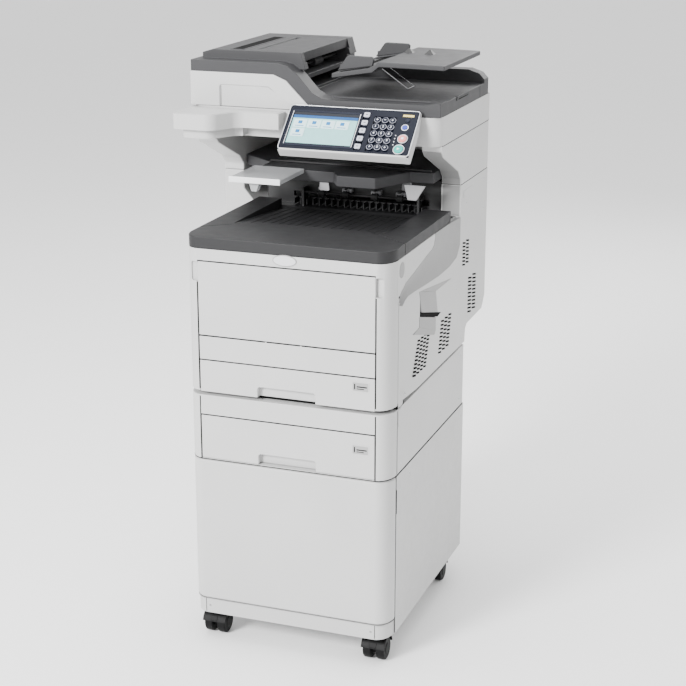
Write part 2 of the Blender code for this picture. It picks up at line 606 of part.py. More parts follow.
KEY_FLOOR = POCKET + 0.0015
make("start_button", TEAL, key(*START, 0.0100, KEY_FLOOR, 0.0015), pivot=at_panel(*START), parent=panel)
make("stop_button", PINK, key(*STOP, 0.0090, KEY_FLOOR, 0.0015), pivot=at_panel(*STOP), parent=panel)
number_keys = [key(0.056 + 0.0165 * column, 0.031 - 0.0175 * row, 0.0055, -0.0045, 0.0010, 12)
               for row in range(5) for column in range(3)]
make("number_keys", NAVY, on_panel((0.0485, 0.0960), (-0.0495, 0.0395), (KEY_FLOOR, -0.0035)),
     add=[number_keys], pivot=at_panel(*NUMBERS), parent=panel)
function_keys = [on_panel((0.0240, 0.0360), (y - 0.0055, y + 0.0055), (-0.0045, 0.0010))
                 for y in (-0.040, -0.0195, 0.001, 0.0215, 0.042)]
make("function_keys", KEY, on_panel((0.0230, 0.0370), (-0.0495, 0.0475), (KEY_FLOOR, -0.0035)),
     add=[function_keys], pivot=at_panel(*FUNCTIONS), parent=panel)
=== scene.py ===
"""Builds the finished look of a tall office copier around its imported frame.

Everything is laid out in metres from the front centre of the base unit, on the floor: x to the right,
y to the back, z up. Each operator makes one piece, or one group of like pieces.
"""

import math

import bmesh
import bpy
from bpy.props import FloatProperty, FloatVectorProperty, IntProperty, PointerProperty
from mathutils import Matrix, Vector


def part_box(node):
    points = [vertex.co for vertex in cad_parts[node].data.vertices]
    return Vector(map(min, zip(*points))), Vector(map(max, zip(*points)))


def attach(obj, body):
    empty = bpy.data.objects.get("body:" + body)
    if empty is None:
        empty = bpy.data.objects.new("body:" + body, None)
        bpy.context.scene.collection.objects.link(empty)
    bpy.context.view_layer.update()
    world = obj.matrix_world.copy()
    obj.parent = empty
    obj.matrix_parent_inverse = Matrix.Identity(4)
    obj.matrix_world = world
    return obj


bl_info = {
    "name": "Office copier",
    "version": (1, 0, 0),
    "blender": (4, 5, 0),
    "location": "3D View > Sidebar > Copier",
    "description": "Makes the covers, panel, trays and fittings of an office copier",
    "category": "Add Mesh",
}

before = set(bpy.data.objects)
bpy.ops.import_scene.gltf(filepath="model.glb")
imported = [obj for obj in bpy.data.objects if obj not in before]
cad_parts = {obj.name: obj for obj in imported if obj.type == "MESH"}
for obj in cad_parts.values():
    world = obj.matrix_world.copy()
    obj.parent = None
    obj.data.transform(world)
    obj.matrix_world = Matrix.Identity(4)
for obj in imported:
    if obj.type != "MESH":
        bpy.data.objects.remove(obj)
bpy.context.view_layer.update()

COVER_LOW, COVER_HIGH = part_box("front_cover")
BASE = Vector(((COVER_LOW.x + COVER_HIGH.x) / 2, COVER_LOW.y, 0))
HALF = (COVER_HIGH.x - COVER_LOW.x) / 2
FLAT_HALF = (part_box("bypass_tray_door")[1].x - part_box("bypass_tray_door")[0].x) / 2 + 0.0005
LID_LOW, LID_HIGH = (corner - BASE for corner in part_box("document_lid"))
PANEL_LOW, PANEL_HIGH = (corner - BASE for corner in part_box("control_panel"))
LEFT, RIGHT = LID_LOW.x, LID_HIGH.x
CABINET_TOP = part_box("cabinet_side_right")[1].z
DRAWER_LOW = {name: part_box(f"{name}_front")[0].z for name in ("drawer_1", "drawer_2")}
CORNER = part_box("cabinet_side_right")[0].y - COVER_LOW.y - 0.0005
SCANNER_FRONT = 0.288
LID_WALL_TOP = 1.1921
BACK_FACE = 0.6730


def length(name, default, about):
    return FloatProperty(name=name, description=about, default=default, unit="LENGTH", precision=4)


def shade(name, default, about):
    return FloatVectorProperty(name=name, description=about, default=default, subtype="COLOR",
                               min=0.0, max=1.0)


class CopierStage(bpy.types.PropertyGroup):
    """Camera, floor and light."""
    azimuth: FloatProperty(name="Azimuth", description="Camera's turn to the right of the front",
                           default=math.radians(20.065), subtype="ANGLE")
    elevation: FloatProperty(name="Elevation", description="Camera's height above the horizon",
                             default=math.radians(17.128), subtype="ANGLE")
    distance: length("Distance", 3.2, "From the camera to the point that it looks at")
    lens: FloatProperty(name="Lens", description="Focal length in millimetres", default=85.855)
    target: FloatVectorProperty(name="Target", description="Point that the camera looks at, from the base",
                                default=(0.145, -0.058, 0.727), subtype="XYZ", unit="LENGTH")
    floor: shade("Floor", (0.95, 0.95, 0.95), "Colour of the floor")


class CopierColours(bpy.types.PropertyGroup):
    """Colours of the plastics, rubber and metal."""
    white: shade("White", (0.47, 0.47, 0.467), "Moulded outer covers")
    enamel: shade("Enamel", (0.44, 0.44, 0.437), "Painted steel of the cabinet")
    grey: shade("Grey", (0.30, 0.30, 0.31), "Brackets and guides")
    charcoal: shade("Charcoal", (0.034, 0.034, 0.036), "Lid, output tray and deck")
    black: shade("Black", (0.007, 0.007, 0.0075), "Inner covers and casters")
    navy: shade("Navy", (0.003, 0.0045, 0.011), "Face of the control panel")
    seam: shade("Seam", (0.007, 0.007, 0.007), "Shadow lines, slots and vents")


class CopierSizes(bpy.types.PropertyGroup):
    """Small sizes that the covers share."""
    seam: length("Seam", 0.0024, "Width of a shadow line between covers")
    screw: length("Screw", 0.0030, "Radius of a screw head")
    vent_rows: IntProperty(name="Vent rows", description="Slots in the tallest vent", default=10, min=2)


# Materials

def nodes_of(name):
    made = bpy.data.materials.new(name)
    made.use_nodes = True
    tree = made.node_tree
    return made, tree, tree.nodes["Principled BSDF"]


def speckle(tree, scale, detail=3.0):
    place = tree.nodes.new("ShaderNodeTexCoord")
    noise = tree.nodes.new("ShaderNodeTexNoise")
    noise.inputs["Scale"].default_value = scale
    noise.inputs["Detail"].default_value = detail
    tree.links.new(place.outputs["Object"], noise.inputs["Vector"])
    return noise.outputs["Fac"]


def ramp(tree, source, low, high, start=0.3, end=0.7):
    made = tree.nodes.new("ShaderNodeValToRGB")
    made.color_ramp.elements[0].position = start
    made.color_ramp.elements[1].position = end
    made.color_ramp.elements[0].color = (*low, 1)
    made.color_ramp.elements[1].color = (*high, 1)
    tree.links.new(source, made.inputs["Fac"])
    return made.outputs["Color"]


def bump(tree, shader, source, depth, strength=1.0):
    made = tree.nodes.new("ShaderNodeBump")
    made.inputs["Distance"].default_value = depth
    made.inputs["Strength"].default_value = strength
    tree.links.new(source, made.inputs["Height"])
    tree.links.new(made.outputs["Normal"], shader.inputs["Normal"])


def moulded(name, colour, roughness=0.42, grain=0.00006, vary=0.03, gloss=0.42):
    """Spark-eroded moulded plastic: a fine grain, slow drifts in colour and in gloss."""
    made, tree, shader = nodes_of(name)
    drift = speckle(tree, 5.0)
    low = [max(0, part * (1 - vary)) for part in colour]
    high = [min(1, part * (1 + vary)) for part in colour]
    tree.links.new(ramp(tree, drift, low, high), shader.inputs["Base Color"])
    sheen = ramp(tree, speckle(tree, 40.0), [roughness - 0.02] * 3, [roughness + 0.03] * 3)
    tree.links.new(sheen, shader.inputs["Roughness"])
    bump(tree, shader, speckle(tree, 1400.0, 2.0), grain, 0.35)
    shader.inputs["Specular IOR Level"].default_value = gloss
    return made


def painted(name, colour):
    """Powder coat: the orange peel of a baked paint film."""
    made, tree, shader = nodes_of(name)
    low, high = [part * 0.975 for part in colour], [min(1, part * 1.02) for part in colour]
    tree.links.new(ramp(tree, speckle(tree, 7.0), low, high), shader.inputs["Base Color"])
    sheen = ramp(tree, speckle(tree, 60.0), [0.34] * 3, [0.46] * 3)
    tree.links.new(sheen, shader.inputs["Roughness"])
    bump(tree, shader, speckle(tree, 450.0, 2.0), 0.00008, 0.3)
    return made


def metal(name, colour, roughness):
    """Plated steel with fine drawn lines."""
    made, tree, shader = nodes_of(name)
    shader.inputs["Metallic"].default_value = 1.0
    place = tree.nodes.new("ShaderNodeTexCoord")
    stretch = tree.nodes.new("ShaderNodeMapping")
    stretch.inputs["Scale"].default_value = (6, 900, 900)
    lines = tree.nodes.new("ShaderNodeTexNoise")
    lines.inputs["Scale"].default_value = 1.0
    tree.links.new(place.outputs["Object"], stretch.inputs["Vector"])
    tree.links.new(stretch.outputs["Vector"], lines.inputs["Vector"])
    tree.links.new(ramp(tree, lines.outputs["Fac"], [c * 0.85 for c in colour], colour),
                   shader.inputs["Base Color"])
    tree.links.new(ramp(tree, lines.outputs["Fac"], [roughness] * 3, [roughness + 0.15] * 3),
                   shader.inputs["Roughness"])
    bump(tree, shader, lines.outputs["Fac"], 0.00002, 0.3)
    return made


def clear(name, colour, roughness, alpha):
    made, tree, shader = nodes_of(name)
    tree.links.new(ramp(tree, speckle(tree, 9.0), [c * 0.96 for c in colour], colour),
                   shader.inputs["Base Color"])
    shader.inputs["Roughness"].default_value = roughness
    shader.inputs["Alpha"].default_value = alpha
    shader.inputs["IOR"].default_value = 1.49
    return made


def lit(name, colour, glow):
    """A lit area of the screen, with a faint noise in its tint."""
    made, tree, shader = nodes_of(name)
    tint = ramp(tree, speckle(tree, 90.0), [c * 0.94 for c in colour], colour)
    tree.links.new(tint, shader.inputs["Base Color"])
    tree.links.new(tint, shader.inputs["Emission Color"])
    shader.inputs["Emission Strength"].default_value = glow
    shader.inputs["Roughness"].default_value = 0.25
    shader.inputs["Specular IOR Level"].default_value = 0.15
    return made


LOOKS = {}


def make_looks(colours):
    """All finishes by name, each with the record's material slot that it belongs to."""
    white, charcoal, black = colours.white[:], colours.charcoal[:], colours.black[:]
    LOOKS.update({
        "white": (moulded("white_moulding", white, 0.42), "white_plastic"),
        # Painted shade: the white plastic at half its brightness, for the scoop along the side, the column's
        # front, two grip facets and the finger recess.
        "fender_shade": (moulded("fender_shade_moulding", [c * 0.50 for c in white], 0.4), "grey_plastic"),
        # A grey used mostly as painted shade: grip facets, the finger hollow, the plinth line and the lid
        # recess. It also colours the badge rim and the plinth screws.
        "grip": (moulded("grey_and_shade_moulding", [c * 0.55 for c in white], 0.45), "grey_plastic"),
        "label": (moulded("label_card", [c * 0.62 for c in white], 0.5), "grey_plastic"),
        "badge": (moulded("badge_lacquer", (0.58, 0.58, 0.60), 0.2), "grey_plastic"),
        "enamel": (painted("cabinet_powder_coat", colours.enamel[:]), "white_enamel"),
        "grey": (moulded("grey_moulding", colours.grey[:], 0.45), "grey_plastic"),
        "charcoal": (moulded("charcoal_moulding", charcoal, 0.5, vary=0.02, gloss=0.25), "charcoal_plastic"),
        "output": (moulded("dark_tray_moulding", [c * 0.5 for c in charcoal], 0.5, vary=0.02, gloss=0.25),
                   "charcoal_plastic"),
        "black": (moulded("black_moulding", black, 0.4, vary=0.1), "black_plastic"),
        "caster": (moulded("caster_nylon", [c * 0.6 for c in black], 0.5, vary=0.1, gloss=0.12),
                   "black_plastic"),
        "rubber": (moulded("roller_rubber", [c * 1.2 for c in black], 0.75, 0.0001, 0.12), "black_rubber"),
        "navy": (moulded("gloss_navy", colours.navy[:], 0.3, 0.00001, 0.05, 0.1), "navy_panel"),
        "seam": (moulded("shadow_gap", colours.seam[:], 0.85, vary=0.1, gloss=0.05), "black_plastic"),
        "steel": (metal("plated_steel", (0.66, 0.66, 0.67), 0.22), "bright_steel"),
        "silver": (metal("silver_trim", (0.74, 0.75, 0.77), 0.3), "bright_steel"),
        "glass": (clear("flatbed_glass", (0.75, 0.82, 0.8), 0.03, 0.4), "glass"),
        "smoked": (clear("clear_moulding", (0.52, 0.53, 0.54), 0.08, 0.62), "smoked_clear"),
        # Pale: a painted highlight on the staple tray's edge, and the colour of the USB port's rim.
        "pale_and_highlight": (moulded("pale_edge_and_highlight", (0.8, 0.81, 0.82), 0.25), "smoked_clear"),
        "navy_key": (moulded("navy_key_moulding", [c * 1.6 for c in colours.navy], 0.35, gloss=0.15),
                     "navy_panel"),
        "key": (moulded("key_moulding", (0.42, 0.43, 0.50), 0.35), "key_grey"),
        "key_print": (moulded("key_print", (0.75, 0.77, 0.82), 0.4), "key_grey"),
        "toner_yellow": (moulded("toner_yellow", (0.75, 0.55, 0.04), 0.4), "black_plastic"),
        "toner_magenta": (moulded("toner_magenta", (0.60, 0.03, 0.22), 0.4), "black_plastic"),
        "toner_cyan": (moulded("toner_cyan", (0.02, 0.35, 0.60), 0.4), "black_plastic"),
        "toner_black": (moulded("toner_black", (0.03, 0.03, 0.035), 0.4), "black_plastic"),
        "teal_trim": (moulded("blue_grey_guide", (0.10, 0.22, 0.38), 0.4), "grey_plastic"),
        "teal": (moulded("start_key", (0.01, 0.36, 0.31), 0.3, gloss=0.2), "start_teal"),
        "pink": (moulded("stop_key", (0.68, 0.22, 0.20), 0.3, gloss=0.2), "stop_pink"),
        "blue": (moulded("power_key", (0.03, 0.05, 0.33), 0.3, gloss=0.2), "navy_panel"),
        "amber": (moulded("lamp_window", (0.7, 0.55, 0.15), 0.3), "key_grey"),
        "screen": (lit("screen_page", (0.25, 0.50, 0.50), 0.22), "screen_glass"),
        "screen_bar": (lit("screen_bar", (0.008, 0.07, 0.22), 0.2), "screen_glass"),
        "screen_dark": (lit("screen_header", (0.006, 0.008, 0.014), 0.05), "screen_glass"),
        "screen_tile": (lit("screen_tile", (0.50, 0.68, 0.70), 0.28), "screen_glass"),
        "screen_mark": (lit("screen_mark", (0.01, 0.14, 0.35), 0.15), "screen_glass"),
    })


# Shapes: each is (points, faces), closed, from the base's own origin

AXES = {"x": (1, 2, 0), "y": (0, 2, 1), "z": (0, 1, 2)}


def extruded(outline, axis, low, high):
    """The outline lies across the axis: (y, z), (x, z) or (x, y)."""
    first, second, along = AXES[axis]
    points = []
    for level in (low, high):
        for corner in outline:
            point = [0.0, 0.0, 0.0]
            point[first], point[second], point[along] = corner[0], corner[1], level
            points.append(tuple(point))
    count = len(outline)
    faces = [tuple(range(count)), tuple(range(2 * count - 1, count - 1, -1))]
    faces += [(i, i + count, (i + 1) % count + count, (i + 1) % count) for i in range(count)]
    return points, faces


def slab(x, y, z):
    return extruded([(x[0], y[0]), (x[1], y[0]), (x[1], y[1]), (x[0], y[1])], "z", *z)


def turned(profile, axis, centre, sides=32):
    """The profile is a list of (distance along the axis, radius)."""
    first, second, along = AXES[axis]
    points = []
    for distance, radius in profile:
        for k in range(sides):
            angle = 2 * math.pi * k / sides
            point = list(centre)
            point[first] += radius * math.cos(angle)
            point[second] += radius * math.sin(angle)
            point[along] += distance
            points.append(tuple(point))
    rows = len(profile)
    faces = [tuple(range(sides)), tuple(range(rows * sides - 1, (rows - 1) * sides - 1, -1))]
    for row in range(rows - 1):
        for k in range(sides):
            j = (k + 1) % sides
            low, high = row * sides, (row + 1) * sides
            faces.append((low + k, high + k, high + j, low + j))
    return points, faces


def domed(axis, centre, radius, low, high, sides=32):
    """A short round key or screw head with a softened rim."""
    soft = min(radius, abs(high - low)) * 0.3
    turn = 1 if high > low else -1
    return turned([(low, radius), (high - turn * soft, radius),
                   (high - turn * soft * 0.3, radius - soft * 0.35),
                   (high, radius - soft)], axis, centre, sides)


def rounded(corners, steps=6):
    """An outline from (u, v, radius) corners, each turned by an arc of that radius."""
    outline = []
    for i, (u, v, radius) in enumerate(corners):
        here = Vector((u, v))
        if radius <= 0:
            outline.append((u, v))
            continue
        before = (Vector(corners[i - 1][:2]) - here).normalized()
        after = (Vector(corners[(i + 1) % len(corners)][:2]) - here).normalized()
        half = before.angle(after) / 2
        start, end = (here + way * radius / math.tan(half) for way in (before, after))
        middle = here + (before + after).normalized() * radius / math.sin(half)
        sweep = (start - middle).angle_signed(end - middle)
        for k in range(steps + 1):
            outline.append(tuple(middle + Matrix.Rotation(-sweep * k / steps, 2) @ (start - middle)))
    return outline


def plate(x, y, radius, steps=6):
    """A rectangle's outline with all its corners rounded."""
    return rounded([(x[0], y[0], radius), (x[1], y[0], radius), (x[1], y[1], radius),
                    (x[0], y[1], radius)], steps)


def placed(solid, matrix):
    return [tuple(matrix @ Vector(point)) for point in solid[0]], solid[1]


def mirrored(solid):
    return [(-x, y, z) for x, y, z in solid[0]], [tuple(reversed(face)) for face in solid[1]]


def loft(rows):
    """A closed skin through rings of points."""
    count = len(rows[0])
    points = [point for row in rows for point in row]
    faces = [tuple(range(count)), tuple(range(len(points) - 1, len(points) - count - 1, -1))]
    for r in range(len(rows) - 1):
        for i in range(count):
            j = (i + 1) % count
            faces.append((r * count + i, (r + 1) * count + i, (r + 1) * count + j, r * count + j))
    return points, faces


def tube(route, radius, sides=10):
    """A round bar bent along the route's points."""
    rows = []
    for i, point in enumerate(route):
        here = Vector(point)
        ahead = Vector(route[min(i + 1, len(route) - 1)]) - Vector(route[max(i - 1, 0)])
        turn = ahead.to_track_quat("Z", "Y")
        rows.append([tuple(here + turn @ Vector((radius * math.cos(a), radius * math.sin(a), 0)))
                     for a in (2 * math.pi * k / sides for k in range(sides))])
    return loft(rows)


# Objects

def mesh_of(name, solids):
    work = bmesh.new()
    for points, faces in solids:
        made = [work.verts.new(Vector(point) + BASE) for point in points]
        for face in faces:
            work.faces.new([made[i] for i in face])
    bmesh.ops.recalc_face_normals(work, faces=work.faces)
    mesh = bpy.data.meshes.new(name)
    work.to_mesh(mesh)
    work.free()
    mesh.shade_smooth()
    return mesh


def linked(name, mesh):
    made = bpy.data.objects.new(name, mesh)
    bpy.context.scene.collection.objects.link(made)
    return made


def carved(name, solids, cut):
    """The solids' mesh with others cut from it, as one plain mesh."""
    whole = linked(name, mesh_of(name, solids))
    helpers = []
    for solid in cut:
        helper = linked(f"{name}_tool", mesh_of(name, [solid]))
        change = whole.modifiers.new("cut", "BOOLEAN")
        change.operation, change.solver, change.object = "DIFFERENCE", "EXACT", helper
        helpers.append(helper)
    if helpers:
        graph = bpy.context.evaluated_depsgraph_get()
        bpy.context.view_layer.update()
        mesh = bpy.data.meshes.new_from_object(whole.evaluated_get(graph))
        whole.modifiers.clear()
        whole.data = mesh
        mesh.shade_smooth()
        for helper in helpers:
            bpy.data.objects.remove(helper)
    return whole


def soften(obj, width, segments=3, angle=28):
    """Rounds the sharp edges and keeps the flats flat."""
    if width > 0:
        edges = obj.modifiers.new("edges", "BEVEL")
        edges.width = width
        edges.segments = segments
        edges.limit_method = "ANGLE"
        edges.angle_limit = math.radians(angle)
        edges.use_clamp_overlap = True
    flat = obj.modifiers.new("flats", "WEIGHTED_NORMAL")
    flat.keep_sharp = True


def piece(name, look, body, solids, cut=(), edge=0.0):
    """A finished piece that moves with a body."""
    solids = solids if isinstance(solids, list) else [solids]
    made = carved(name, solids, cut)
    material, slot = LOOKS[look]
    made.data.materials.clear()
    made.data.materials.append(material)
    soften(made, edge)
    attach(made, body)
    return made


def finish_node(node, look, edge=0.0):
    """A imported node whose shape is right: its edges are rounded and it gets its finish."""
    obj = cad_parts[node]
    obj.data.materials.clear()
    obj.data.materials.append(LOOKS[look][0])
    obj.data.shade_smooth()
    weld = obj.modifiers.new("weld", "WELD")
    weld.merge_threshold = 0.00002
    plain = obj.modifiers.new("flat_faces", "DECIMATE")
    plain.decimate_type = "DISSOLVE"
    plain.angle_limit = math.radians(0.5)
    soften(obj, edge)


# The panel's own plane: x to the right, y up its slope, z out of its face

TILT = math.radians(42.8)
TO_PANEL = Matrix.Translation(((PANEL_LOW.x + PANEL_HIGH.x) / 2, 0.2365, 1.0927)) @ Matrix.Rotation(TILT, 4,
                                                                                                    "X")


def on_panel(solid):
    return placed(solid, TO_PANEL)


def tile(x, y, z, radius=0.0008):
    return on_panel(extruded(plate(x, y, radius, 3), "z", *z))


def figures(name, text, look, body, matrix, size, depth=0.0002):
    """Raised figures on a key."""
    curve = bpy.data.curves.new(name, "FONT")
    curve.body, curve.size, curve.extrude = text, size, depth
    curve.align_x, curve.align_y, curve.resolution_u = "CENTER", "CENTER", 3
    source = linked(f"{name}_text", curve)
    mesh = bpy.data.meshes.new_from_object(source)
    bpy.data.objects.remove(source)
    mesh.transform(Matrix.Translation(BASE) @ matrix)
    made = linked(name, mesh)
    material, slot = LOOKS[look]
    mesh.materials.clear()
    mesh.materials.append(material)
    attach(made, body)
    return made


NODE_FINISHES = {
    "cabinet_floor": ("enamel", 0.0006), "cabinet_top": ("enamel", 0.0006),
                 "cabinet_back": ("enamel", 0.0006),
    "cabinet_side_left": ("enamel", 0.0012), "cabinet_side_right": ("enamel", 0.0012),
    "cabinet_door": ("white", 0.0055), "drawer_1_tray": ("grey", 0.0005), "drawer_1_front": ("white", 0.0018),
    "drawer_2_tray": ("grey", 0.0005), "drawer_2_front": ("white", 0.0018),
    "drawer_1_lift_plate": ("steel", 0.0003), "drawer_2_lift_plate": ("steel", 0.0003),
    "tray_1_feed_roller": ("rubber", 0.0004), "tray_2_feed_roller": ("rubber", 0.0004),
    "tray_2_housing": ("white", 0.0022), "engine_frame": ("steel", 0.0005),
                 "lower_front_strip": ("white", 0.0016),
    "transfer_belt_unit": ("black", 0.001), "fuser_unit": ("grey", 0.0015),
    "toner_drum_yellow": ("black", 0.0015), "toner_drum_magenta": ("black", 0.0015),
    "toner_drum_cyan": ("black", 0.0015), "toner_drum_black": ("black", 0.0015),
    "side_cover_right": ("white", 0.0016), "side_cover_left": ("white", 0.0016),
    "left_column_foot": ("white", 0.003), "left_column": ("white", 0.003), "right_column": ("white", 0.003),
    "rear_cover": ("white", 0.0015), "front_cover": ("white", 0.0016), "front_cover_cap": ("output", 0.0014),
    "bypass_tray_door": ("white", 0.0016), "output_tray_cover": ("output", 0.0014),
    "exit_roller_shaft": ("rubber", 0.0003), "paper_exit_unit": ("black", 0.0006),
    "finisher_deck": ("charcoal", 0.0018), "staple_tray": ("smoked", 0.0012),
    "scanner_base": ("white", 0.0022), "platen_glass": ("glass", 0.0003), "scan_carriage": ("black", 0.001),
    "document_lid": ("charcoal", 0.0022), "feeder_cover": ("charcoal", 0.0018),
    "feeder_pickup_roller": ("rubber", 0.0004), "document_tray": ("charcoal", 0.0018),
    "document_guide_front": ("charcoal", 0.0008), "document_guide_rear": ("charcoal", 0.0008),
    "control_panel": ("navy", 0.0014), "touch_screen": ("screen", 0.0002),
    "start_button": ("teal", 0.0006), "stop_button": ("pink", 0.0006), "number_keys": ("navy", 0.0004),
    "function_keys": ("navy", 0.0005),
}


class COPIER_OT_finishes(bpy.types.Operator):
    """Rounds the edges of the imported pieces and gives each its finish"""
    bl_idname = "copier.finishes"
    bl_label = "Finishes"

    def execute(self, context):
        make_looks(context.scene.copier_colours)
        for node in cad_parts:
            if node.startswith("caster_"):
                look, edge = "caster", 0.0008 if node.endswith("_fork") else 0.0010
            else:
                look, edge = NODE_FINISHES[node]
            finish_node(node, look, edge)
        return {"FINISHED"}


class COPIER_OT_fender(bpy.types.Operator):
    """Makes the moulded fender that runs along the right side into the column"""
    bl_idname = "copier.fender"
    bl_label = "Fender"

    def execute(self, context):
        upper = [(0.047, 0.783), (0.058, 0.804), (0.092, 0.818), (0.142, 0.8255), (0.230, 0.841),
                 (0.268, 0.846),
                 (0.284, 0.853), (0.2895, 0.864), (0.290, 0.8755)]
        lower = [(0.0475, 0.782), (0.065, 0.790), (0.086, 0.7935), (0.129, 0.7918), (0.202, 0.7872),
                 (0.295, 0.7826), (0.375, 0.7836), (0.430, 0.7915), (0.4552, 0.8148)]
        rows = []
        for (y, z), (v, w) in zip(upper, lower):
            ring = [(HALF - 0.003, y, z), (HALF + 0.0006, y, z)]
            for k in range(1, 6):
                part = k / 6
                dip = 0.0022 * math.sin(math.pi * part)
                ring.append((HALF + 0.0006 + (RIGHT - HALF - 0.0004) * part - dip,
                             y + (v - y) * part, z + (w - z) * part))
            ring += [(RIGHT + 0.0002, v, w), (HALF - 0.003, v, w)]
            rows.append(ring)
        # The scoop gets the grey of painted shade, not the colour of its plastic.
        piece("side_fender", "fender_shade", "root", loft(rows), edge=0.0004)
        corner = [(0.290, 0.8755), (0.290, 0.864), (0.4552, 0.8148), (0.4552, 0.8755)]
        rows = []
        for k in range(9):
            part = k / 8
            y = 0.290 + (0.4555 - 0.290) * part
            low = 0.8640 + (0.8148 - 0.8640) * part
            x = HALF + 0.0006 + (RIGHT - HALF - 0.0004) * part ** 2
            rows.append([(HALF - 0.003, y, 0.8756), (x, y, 0.8756), (x, y, low), (HALF - 0.003, y, low)])
        # Its corner into the column gets the same painted shade.
        piece("side_fender_corner", "fender_shade", "root", loft(rows), edge=0.0004)
        return {"FINISHED"}


class COPIER_OT_side_grip(bpy.types.Operator):
    """Makes the facets and the slot of the carrying grip on the right side, each facet's shade painted into
    its colour
    """
    bl_idname = "copier.side_grip"
    bl_label = "Side grip"

    def execute(self, context):
        # The facets' greys are painted shade: lit and shaded copies of the same white plastic. The slot is a
        # dark gap.
        facets = (("wing", "grip", 0.0006, [(0.158, 0.7835), (0.388, 0.7545), (0.274, 0.7550)]),
                  ("upper_face", "fender_shade", 0.0009, [(0.158, 0.7830), (0.274, 0.7550), (0.290, 0.7045),
                                                    (0.1745, 0.7350)]),
                  ("rear_face", "white", 0.0007, [(0.274, 0.7550), (0.388, 0.7540), (0.319, 0.6970),
                                                  (0.290, 0.7045)]),
                  ("slot", "seam", 0.0004, [(0.1700, 0.7365), (0.290, 0.7045), (0.319, 0.6975),
                                            (0.291, 0.6945),
                                            (0.1700, 0.7265)]),
                  ("lower_face", "grip", 0.0009, [(0.160, 0.7290), (0.277, 0.6965), (0.2786, 0.6673),
                                                  (0.1614, 0.7065)]),
                  ("foot", "fender_shade", 0.0006, [(0.123, 0.7009), (0.1614, 0.7065), (0.2786, 0.6673),
                                              (0.268, 0.6600)]))
        for name, look, proud, outline in facets:
            piece(f"side_grip_{name}", look, "root", extruded(outline, "x", RIGHT - 0.008, RIGHT + proud),
                  edge=0.0004)
        return {"FINISHED"}


def vent(rows, columns, y, z, slant, size, lean=0.0):
    """Small slanting slots in a block, on the right side's plane, in (y, z) pairs."""
    outlines = []
    for row in range(rows):
        for column in range(columns):
            v = y[0] + (y[1] - y[0]) * (column + 0.5) / columns - lean * (1 - row / rows)
            w = z[0] + (z[1] - z[0]) * (row + 0.5) / rows
            half, thick = size[0] / 2, size[1] / 2
            rise = slant * half
            outlines.append([(v - half, w - rise - thick), (v + half, w + rise - thick),
                             (v + half, w + rise + thick), (v - half, w - rise + thick)])
    return outlines


FLUSH = -0.0002


def bow(inset=0.0, steps=10):
    """The base unit's front edge from above, from the left side's corner to the right's."""
    right = []
    for k in range(steps + 1):
        a = math.pi / 2 * k / steps
        right.append((FLAT_HALF + (HALF - FLAT_HALF - inset) * math.sin(a),
                      inset + (CORNER - inset) * (1 - math.cos(a))))
    return [(-x, y) for x, y in reversed(right)] + right


def bow_line(z, width, depth=0.0004):
    """A dark line round the front at a height."""
    return extruded(bow(depth) + list(reversed(bow(depth + 0.003))), "z", z - width / 2, z + width / 2)


def face_line(x, z, depth):
    return slab(x, (depth, depth + 0.0015), z)


